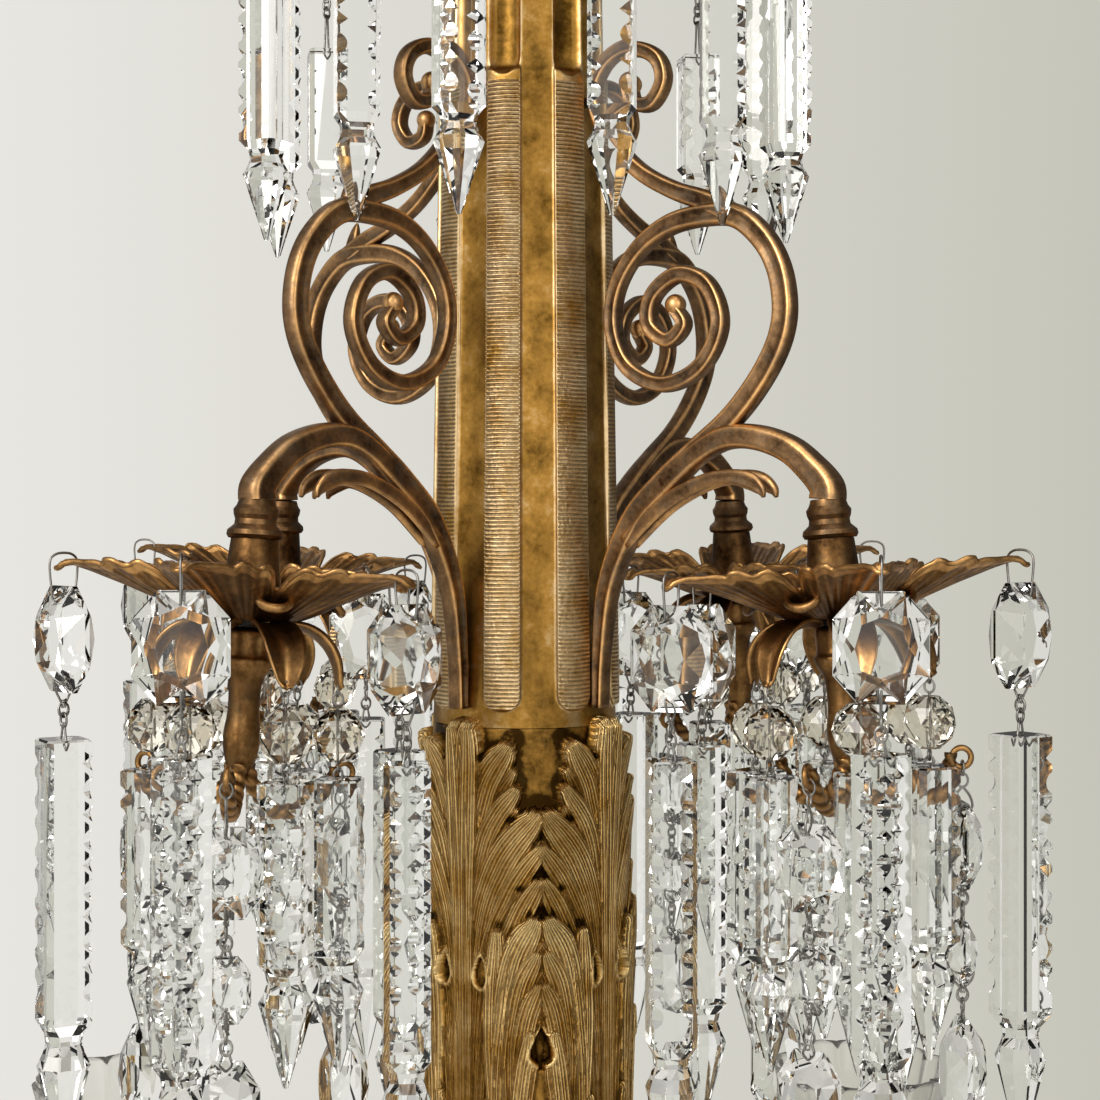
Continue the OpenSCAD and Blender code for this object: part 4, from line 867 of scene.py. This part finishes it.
def swing_drops():
    octagon = cut_octagon(OCTAGON_W, OCTAGON_H)
    octagon = (np.asarray(octagon[0]) - np.array([0, 0, OCTAGON_TOP]), octagon[1])
    octagon = mesh_data("octagon_glass", *octagon, CLEAR_GLASS, smooth=False)
    spears, wires = {}, {}
    for sort, (length, head, top) in {"rim": (RIM_SPEAR, 47, SPEAR_TOP), "crown": (CROWN_SPEAR, 38, SPEAR_TOP),
                                      "short": (SHORT_SPEAR, 38, SHORT_TOP)}.items():
        spears[sort] = mesh_data(f"{sort}_spear_glass", *moved(cut_spear(length, head), at=(0, 0, -top)),
                                 CLEAR_GLASS, smooth=False)
        wires[sort] = mesh_data(f"{sort}_drop_wire", *joined(
            [hang_bow(-OCTAGON_TOP - 4.8)] + link(-OCTAGON_TOP - OCTAGON_H, -top)), STEEL_WIRE)

    def hang(name, sort, body, at, turn, spin, node):
        """An octagon and its wires, and the spear below them, which has a twist of its own."""
        place(f"{name}_octagon", octagon, "cut_glass", body, at, turn, stands_for=[node])
        place(f"{name}_spear", spears[sort], "cut_glass", body, at, turn + spin)
        place(f"{name}_wire", wires[sort], "iron", body, at, turn)

    for k, angle in enumerate(CROWN_ANGLES):
        a = math.radians(angle)
        hang(f"crown_{k + 1}", "short" if k in SHORT_DROPS else "crown", f"swing_crown_{k + 1}",
             (CROWN_R * math.cos(a), CROWN_R * math.sin(a), CROWN_Z), angle, 0.4 * SPINS[k], f"crown_drop_{k + 1}")
    for i, dish in enumerate(DISHES):
        for k in range(5):
            leaf = LEAF_TURN + 72 * k
            a = math.radians(leaf)
            hang(f"rim_{dish}_{k + 1}", "rim", f"swing_{dish}_{k + 1}",
                 tuple(dish_point(i, (RIM_R * math.cos(a), RIM_R * math.sin(a), 2))),
                 90 * i + leaf + TWISTS[dish][k], SPINS[(5 * i + k) % 12] - TWISTS[dish][k], f"rim_drop_{dish}_{k + 1}")


def fixed_drops():
    pearl = mesh_data("bead_drop_bead", *moved(cut_bead(9.5, 18), at=(0, 0, -17)), BEAD_GLASS, smooth=False)
    glass = mesh_data("bead_drop_spear", *moved(cut_spear(BEAD_SPEAR, 42), at=(0, 0, -32)), CLEAR_GLASS, smooth=False)
    metal = mesh_data("bead_drop_wire", *joined(
        [wire_loop(-1.2, 2.4, "y"), wire_loop(-4.6, 2.2), wire_path([(0, 0, -6.4), (0, 0, -27)], 4),
         wire_loop(-28.2, 1.9, "y"), wire_loop(-30.6, 1.9),
         wire_path([(0, 0, -32.2), (1.6, 0, -33), (1.6, 0, -34.6), (0, 0, -36)], 3)]), STEEL_WIRE)
    big = moved(cut_octagon(24, 30), at=(0, 0, -11))
    small = moved(cut_octagon(16, 22), at=(0, 0, -53))
    pendant = moved(cut_octagon(22, 37), at=(0, 0, -87))
    centre = mesh_data("centre_drop_glass", *joined([big, small, pendant]), CLEAR_GLASS, smooth=False)
    chain = mesh_data("centre_drop_wire", *joined(
        [wire_loop(0.9, 2.6, "y"), wire_loop(-3.4, 2.4),
         wire_path([(0, 0, -5.6), (2.6, 0, -9), (3.4, 0, -13), (0, 0, -15.4)], 4),
         wire_path([(0, 0, -5.6), (-2.6, 0, -9), (-3.4, 0, -13), (0, 0, -15.4)], 4)]
        + link(-41, -53) + link(-75, -87)), STEEL_WIRE)
    for i, dish in enumerate(DISHES):
        for k in range(6):
            a = math.radians(PETAL_TURN + 60 * k)
            at = tuple(dish_point(i, (PETAL_TIP_R * math.cos(a), PETAL_TIP_R * math.sin(a), -HUSK_FOOT)))
            turn = 90 * i + PETAL_TURN + 60 * k
            first = i == 0 and k == 0
            place(f"bead_{dish}_{k + 1}", pearl, "cut_glass", at=at, turn=turn, stands_for=["bead_drops"] if first else ())
            place(f"bead_spear_{dish}_{k + 1}", glass, "cut_glass", at=at, turn=turn + SPINS[(7 * i + k) % 12])
            place(f"bead_wire_{dish}_{k + 1}", metal, "iron", at=at, turn=turn)
        for k in range(3):
            a = math.radians(HOOK_TURN + 120 * k)
            at = tuple(dish_point(i, (HOOK_RING[0] * math.cos(a), HOOK_RING[0] * math.sin(a), RING_FOOT)))
            turn = 90 * i + HOOK_TURN + 120 * k
            place(f"centre_glass_{dish}_{k + 1}", centre, "cut_glass", at=at, turn=turn,
                  stands_for=["centre_drops"] if i + k == 0 else ())
            place(f"centre_wire_{dish}_{k + 1}", chain, "iron", at=at, turn=turn)


# Turned work outside the photograph's view: cap, crown dish, hub, bowl, finial, galleries and shades

def eased(profile, cut=0.5):
    """The corners of a profile filed off by a fraction of a millimetre."""
    p = np.asarray(profile, float)
    out = [p[0]]
    for a, b, c in zip(p[:-2], p[1:-1], p[2:]):
        for other in (a, c):
            away = other - b
            out.append(b + away * min(cut / max(np.hypot(away[0], away[1]), 1e-6), 0.3))
    return np.array(out + [p[-1]])


def turned_piece(name, profile, finish, slot, node, lobes=24, places=((0, 0),), tip=0.0):
    """A turned piece from rows of radius, height and the depth of the gadroons cut there.

    tip is how far the lobes' middles stand over their ends at the last row of the outside.
    """
    p = eased(profile)
    fine = [p[0]]
    for a, b in zip(p[:-1], p[1:]):
        steps = max(1, int(np.hypot(b[0] - a[0], b[1] - a[1]) / 1.6)) if a[2] or b[2] else 1
        fine += [a + (b - a) * s / steps for s in range(1, steps + 1)]
    p = np.array(fine)
    cols = lobes * 10
    a = np.arange(cols) / cols * 2 * math.pi
    wave = np.abs(np.sin(lobes * a / 2)) ** 0.6
    r = p[:, :1] - p[:, 2:3] * (1 - wave[None, :])
    z = p[:, 1:2] + tip * (p[:, 2:3] > 0) * (wave[None, :] - 1) * (p[:, 1:2] == p[:, 1].max())
    points = np.stack([r * np.cos(a), r * np.sin(a), np.repeat(z, cols, 1) if z.shape[1] == 1 else z], -1).reshape(-1, 3)
    faces = quads(len(p), cols, True)
    if np.hypot(*(p[0] - p[-1])[:2]) > 0.01 and p[0][0] > 1:
        faces += [[(len(p) - 1) * cols + j, (len(p) - 1) * cols + (j + 1) % cols, (j + 1) % cols, j] for j in range(cols)]
    # Gadroons are lighter on their crests and darker in the flutes between: rubbed wear, painted highlight and painted
    # shade
    wear_and_shade = np.where(p[:, 2:3] > 0, 0.3 + 0.35 * wave[None, :], 0.5 + 0 * wave[None, :])
    data = mesh_data(name, points, faces, finish, marks={"wear_and_shade": wear_and_shade.ravel()})
    for k, at in enumerate(places):
        label = name if len(places) == 1 else f"{name}_{DISHES[k]}"
        place(label, data, slot, at=(at[0], at[1], 0), stands_for=[node] if k == 0 else ())


def turned_work():
    turned_piece("crown_cap_gadrooned", [
        (5.3, -76, 0), (13, -76, 0), (15, -79.7, 0), (11, -84, 0), (14, -90.3, 0.8), (24, -102, 1.6), (28, -113.8, 1.8),
        (24, -123.7, 0.8), (30, -130, 0), (42, -138, 0), (38, -138, 0), (28, -131.8, 0), (20, -125, 0), (24, -113.8, 0),
        (20, -103.3, 0), (5.3, -90.3, 0)], GILT_BRASS, "gilt_brass", "crown_cap", lobes=16)
    z = -148.0
    turned_piece("crown_dish_leaves", [
        (5.3, z, 0), (36, z, 0), (56, z + 7, 0), (84, z + 3.6, 0), (96, z + 2.8, 0), (105.3, z + 3.4, 0),
        (105.5, z + 4.6, 0), (96, z + 5.2, 0), (84, z + 8, 1.8), (58, z + 12, 1.4), (42, z + 10, 0), (5.3, z + 10, 0)],
        COPPER_BRONZE, "bronze", "crown_dish", lobes=36)
    turned_piece("arm_hub_turned", [
        (5.3, -784, 0), (30, -784, 0), (36, -792, 0), (38, -804, 0), (38, -828, 0), (34, -840, 0.9), (30, -850, 0.9),
        (5.3, -850, 0)], GILT_BRASS, "gilt_brass", "arm_hub", lobes=32)
    turned_piece("bottom_bowl_gadrooned", [
        (5.3, -850, 0), (40, -850, 0), (44, -854, 0), (40, -860, 0), (43, -870, 2.2), (41, -878, 2.4), (38, -886, 2.2),
        (24, -902, 1.0), (5.3, -902, 0)], GILT_BRASS, "gilt_brass", "bottom_bowl", lobes=24)
    turned_piece("finial_acorn", [
        (0.3, -902, 0), (14, -902, 0), (17, -906, 0), (10, -912, 0), (10, -916, 0), (17, -926, 1.4), (19, -935, 1.8),
        (14, -944, 1.2), (6, -950, 0), (8, -955, 0), (4, -960, 0), (0.3, -962, 0)], GILT_BRASS, "gilt_brass", "finial",
        lobes=12)
    lights = [(LIGHT_R, 0), (0, LIGHT_R), (-LIGHT_R, 0), (0, -LIGHT_R)]
    z = LIGHT_Z
    turned_piece("gallery_cup", [
        (0.3, z - 0.5, 0), (9, z, 0), (12, z - 3, 0), (15, z, 0), (23, z + 2, 0), (24.5, z + 8, 1.0), (25.5, z + 16, 1.6),
        (24, z + 16, 1.6), (22.6, z + 9, 0), (21.4, z + 4, 0), (0.3, z + 4, 0)], COPPER_BRONZE, "bronze",
        "shade_galleries", lobes=18, places=lights, tip=1.5)
    z = LIGHT_Z + 4
    turned_piece("glass_shade_fluted", [
        (17.4, z, 0), (20.4, z, 0), (21, z + 14, 0.2), (30, z + 30, 1.0), (39, z + 50, 1.4), (42, z + 68, 1.8),
        (46, z + 83, 2.6), (43.4, z + 83, 2.6), (39.4, z + 68, 1.8), (36.4, z + 51, 1.4), (27.6, z + 31, 1.0),
        (18, z + 15, 0)], SHADE_GLASS, "cut_glass", "glass_shades", lobes=16, places=lights, tip=4)


def light_arms():
    """Round arms with two turned knops and a leaf wrapped over the bend."""
    bend, c = 81.559, LIGHT_R - 81.559
    path = [(27, ARM_Z), (44, ARM_Z)]
    path += [(60 + 60 * math.cos(math.radians(a)), ARM_Z - 60 + 60 * math.sin(math.radians(a))) for a in np.arange(90, 39.9, -5)]
    path += [(c + bend * math.cos(math.radians(a)), LIGHT_Z - 3 + bend * math.sin(math.radians(a))) for a in np.arange(-139, 0.1, 5)]
    path = spline(path + [(LIGHT_R, LIGHT_Z)], 5)
    along = np.concatenate([[0], np.cumsum(np.hypot(*np.diff(path, axis=0).T))])
    size = np.full(len(path), 6.0)
    for middle in (18.0, 178.0):
        for shift, rise, reach in ((0, 3.2, 2.4), (5.5, 1.4, 1.2), (-5.5, 1.4, 1.2)):
            size += rise * np.exp(-((along - middle - shift) / reach) ** 2)
    t = np.arange(28) / 28 * 2 * math.pi
    # The wrapped leaf: five ribs that swell and die away
    leaf = np.exp(-((along - 125) / 26) ** 4) * np.clip((along - 98) / 20, 0, 1)
    swell = 1 + 0.22 * leaf[:, None] * (0.4 + np.abs(np.cos(2.5 * t))[None, :])
    section = np.stack([size[:, None] * np.cos(t) * swell, size[:, None] * np.sin(t) * swell], -1)
    points, faces = sweep(np.stack([path[:, 0], 0 * path[:, 0], path[:, 1]], -1), section, side=(0, 1, 0))
    # Knops and the leaf's ribs are lighter, as rubbed wear and painted highlight
    wear_and_shade = 0.42 + 0.3 * np.clip((size[:, None] - 6) / 3, 0, 1) + 0.25 * leaf[:, None] * np.abs(np.cos(2.5 * t))[None, :]
    data = mesh_data("light_arm_cast", points, faces, BRONZE, marks={"wear_and_shade": wear_and_shade.ravel()})
    for i, dish in enumerate(DISHES):
        place(f"light_arm_cast_{dish}", data, "bronze", turn=90 * i, stands_for=["light_arms"] if i == 0 else ())


def dress_solids():
    """Finishes for the solids that stay as they are."""
    kept = {BRASS_PLAIN: ["top_eye"],
            BRONZE_PLAIN: ["arm_collars"],
            IRON: ["suspension_shackle", "shackle_pin", "tie_rod", "rod_nuts", "bracket_screws", "dish_nipples"],
            PORCELAIN: ["lamp_holders"]}
    for finish, names in kept.items():
        for name in names:
            for place_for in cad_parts[name].material_slots:
                place_for.material = finish


# Studio

def studio():
    world = bpy.data.worlds.new("pale_studio")
    bpy.context.scene.world = world
    world.use_nodes = True
    tree = world.node_tree
    tree.nodes.clear()
    way = add(tree, "ShaderNodeTexCoord").outputs["Generated"]
    # The photograph's backdrop is lighter on the left, and its light comes from the left in front
    across = add(tree, "ShaderNodeVectorMath", {0: way, 1: (0.757, 0.653, 0.0)}, operation="DOT_PRODUCT")
    key_side = add(tree, "ShaderNodeVectorMath", {0: way, 1: (0.3, -0.954, 0.0)}, operation="DOT_PRODUCT")
    slide = add(tree, "ShaderNodeMapRange", {"Value": across.outputs["Value"], "From Min": -0.3, "From Max": 0.3})
    seen = add(tree, "ShaderNodeMix", {0: slide.outputs[0], 6: paint("ebe9e4"), 7: paint("c4c3b7")}, data_type="RGBA")
    side = add(tree, "ShaderNodeMapRange", {"Value": key_side.outputs["Value"], "From Min": -1.0, "From Max": 1.0})
    room = add(tree, "ShaderNodeValToRGB", {0: side.outputs[0]})
    stops = room.color_ramp.elements
    stops[0].position, stops[0].color = 0.0, (0.13, 0.125, 0.12, 1)
    stops[1].position, stops[1].color = 1.0, (1.18, 1.16, 1.12, 1)
    for place_at, level in ((0.35, 0.17), (0.62, 0.42), (0.85, 1.0)):
        stops.new(place_at).color = (level, 0.98 * level, 0.95 * level, 1)
    rays = add(tree, "ShaderNodeLightPath")
    clear = add(tree, "ShaderNodeMath", {0: rays.outputs["Is Camera Ray"], 1: rays.outputs["Is Transmission Ray"]},
                operation="MAXIMUM")
    reflected = add(tree, "ShaderNodeMix", {0: rays.outputs["Is Glossy Ray"], 6: (0.55, 0.55, 0.55, 1),
                                            7: room.outputs[0]}, data_type="RGBA")
    colour = add(tree, "ShaderNodeMix", {0: clear.outputs[0], 6: reflected.outputs[2], 7: seen.outputs[2]},
                 data_type="RGBA")
    back = add(tree, "ShaderNodeBackground", {"Color": colour.outputs[2], "Strength": 1.0})
    add(tree, "ShaderNodeOutputWorld", {"Surface": back.outputs[0]})

    for name, at, size, watts in (("key_left", (0.1, -1.85, 0.5), (0.8, 1.3), 26.0),
                                  ("fill_right", (1.66, -0.62, 0.2), (0.7, 1.3), 4.0),
                                  ("top_soft", (0.2, -0.3, 1.5), (1.2, 1.2), 9.0),
                                  ("back_left", (-1.6, 0.9, 0.3), (0.8, 1.4), 1.5)):
        lamp = bpy.data.lights.new(name, "AREA")
        lamp.shape, lamp.size, lamp.size_y, lamp.energy = "RECTANGLE", size[0], size[1], watts
        lamp.color = (1.0, 0.97, 0.93)
        holder = bpy.data.objects.new(name, lamp)
        bpy.context.collection.objects.link(holder)
        holder.location = at
        holder.rotation_euler = (Vector((0, 0, -0.45)) - Vector(at)).to_track_quat("-Z", "Y").to_euler()

    # A pale round floor well below the hanging piece
    n = 96
    ring = [(1.7 * math.cos(2 * math.pi * k / n), 1.7 * math.sin(2 * math.pi * k / n), -1.3) for k in range(n)]
    data = bpy.data.meshes.new("floor")
    data.from_pydata(ring, [], [list(range(n))])
    finish, tree = new_finish("floor_painted_pale")
    noise = add(tree, "ShaderNodeTexNoise", {"Scale": 6.0, "Detail": 2.0})
    colour = add(tree, "ShaderNodeMix", {0: noise.outputs[0], 6: paint("dddbd6"), 7: paint("d6d4ce")}, data_type="RGBA")
    close_finish(tree, add(tree, "ShaderNodeBsdfPrincipled", {"Base Color": colour.outputs[2], "Roughness": 0.9}))
    data.materials.append(finish)
    floor = bpy.data.objects.new("floor", data)
    bpy.context.collection.objects.link(floor)

    # The photograph's view: level, 0.82 m from the column, from between two brackets
    lens = bpy.data.cameras.new("camera")
    lens.angle = math.radians(30.04)
    lens.shift_x, lens.shift_y = 0.0232, -0.04
    camera = bpy.data.objects.new("camera", lens)
    bpy.context.collection.objects.link(camera)
    camera.location = (0.5355, -0.6204, -0.42)
    camera.rotation_euler = (math.pi / 2, 0, math.radians(40.8))
    bpy.context.scene.camera = camera
    bpy.context.scene.view_settings.view_transform = "Standard"


column()
vase()
brackets()
leaf_dish()
husks()
hooks()
swing_drops()
fixed_drops()
turned_work()
light_arms()
dress_solids()
studio()
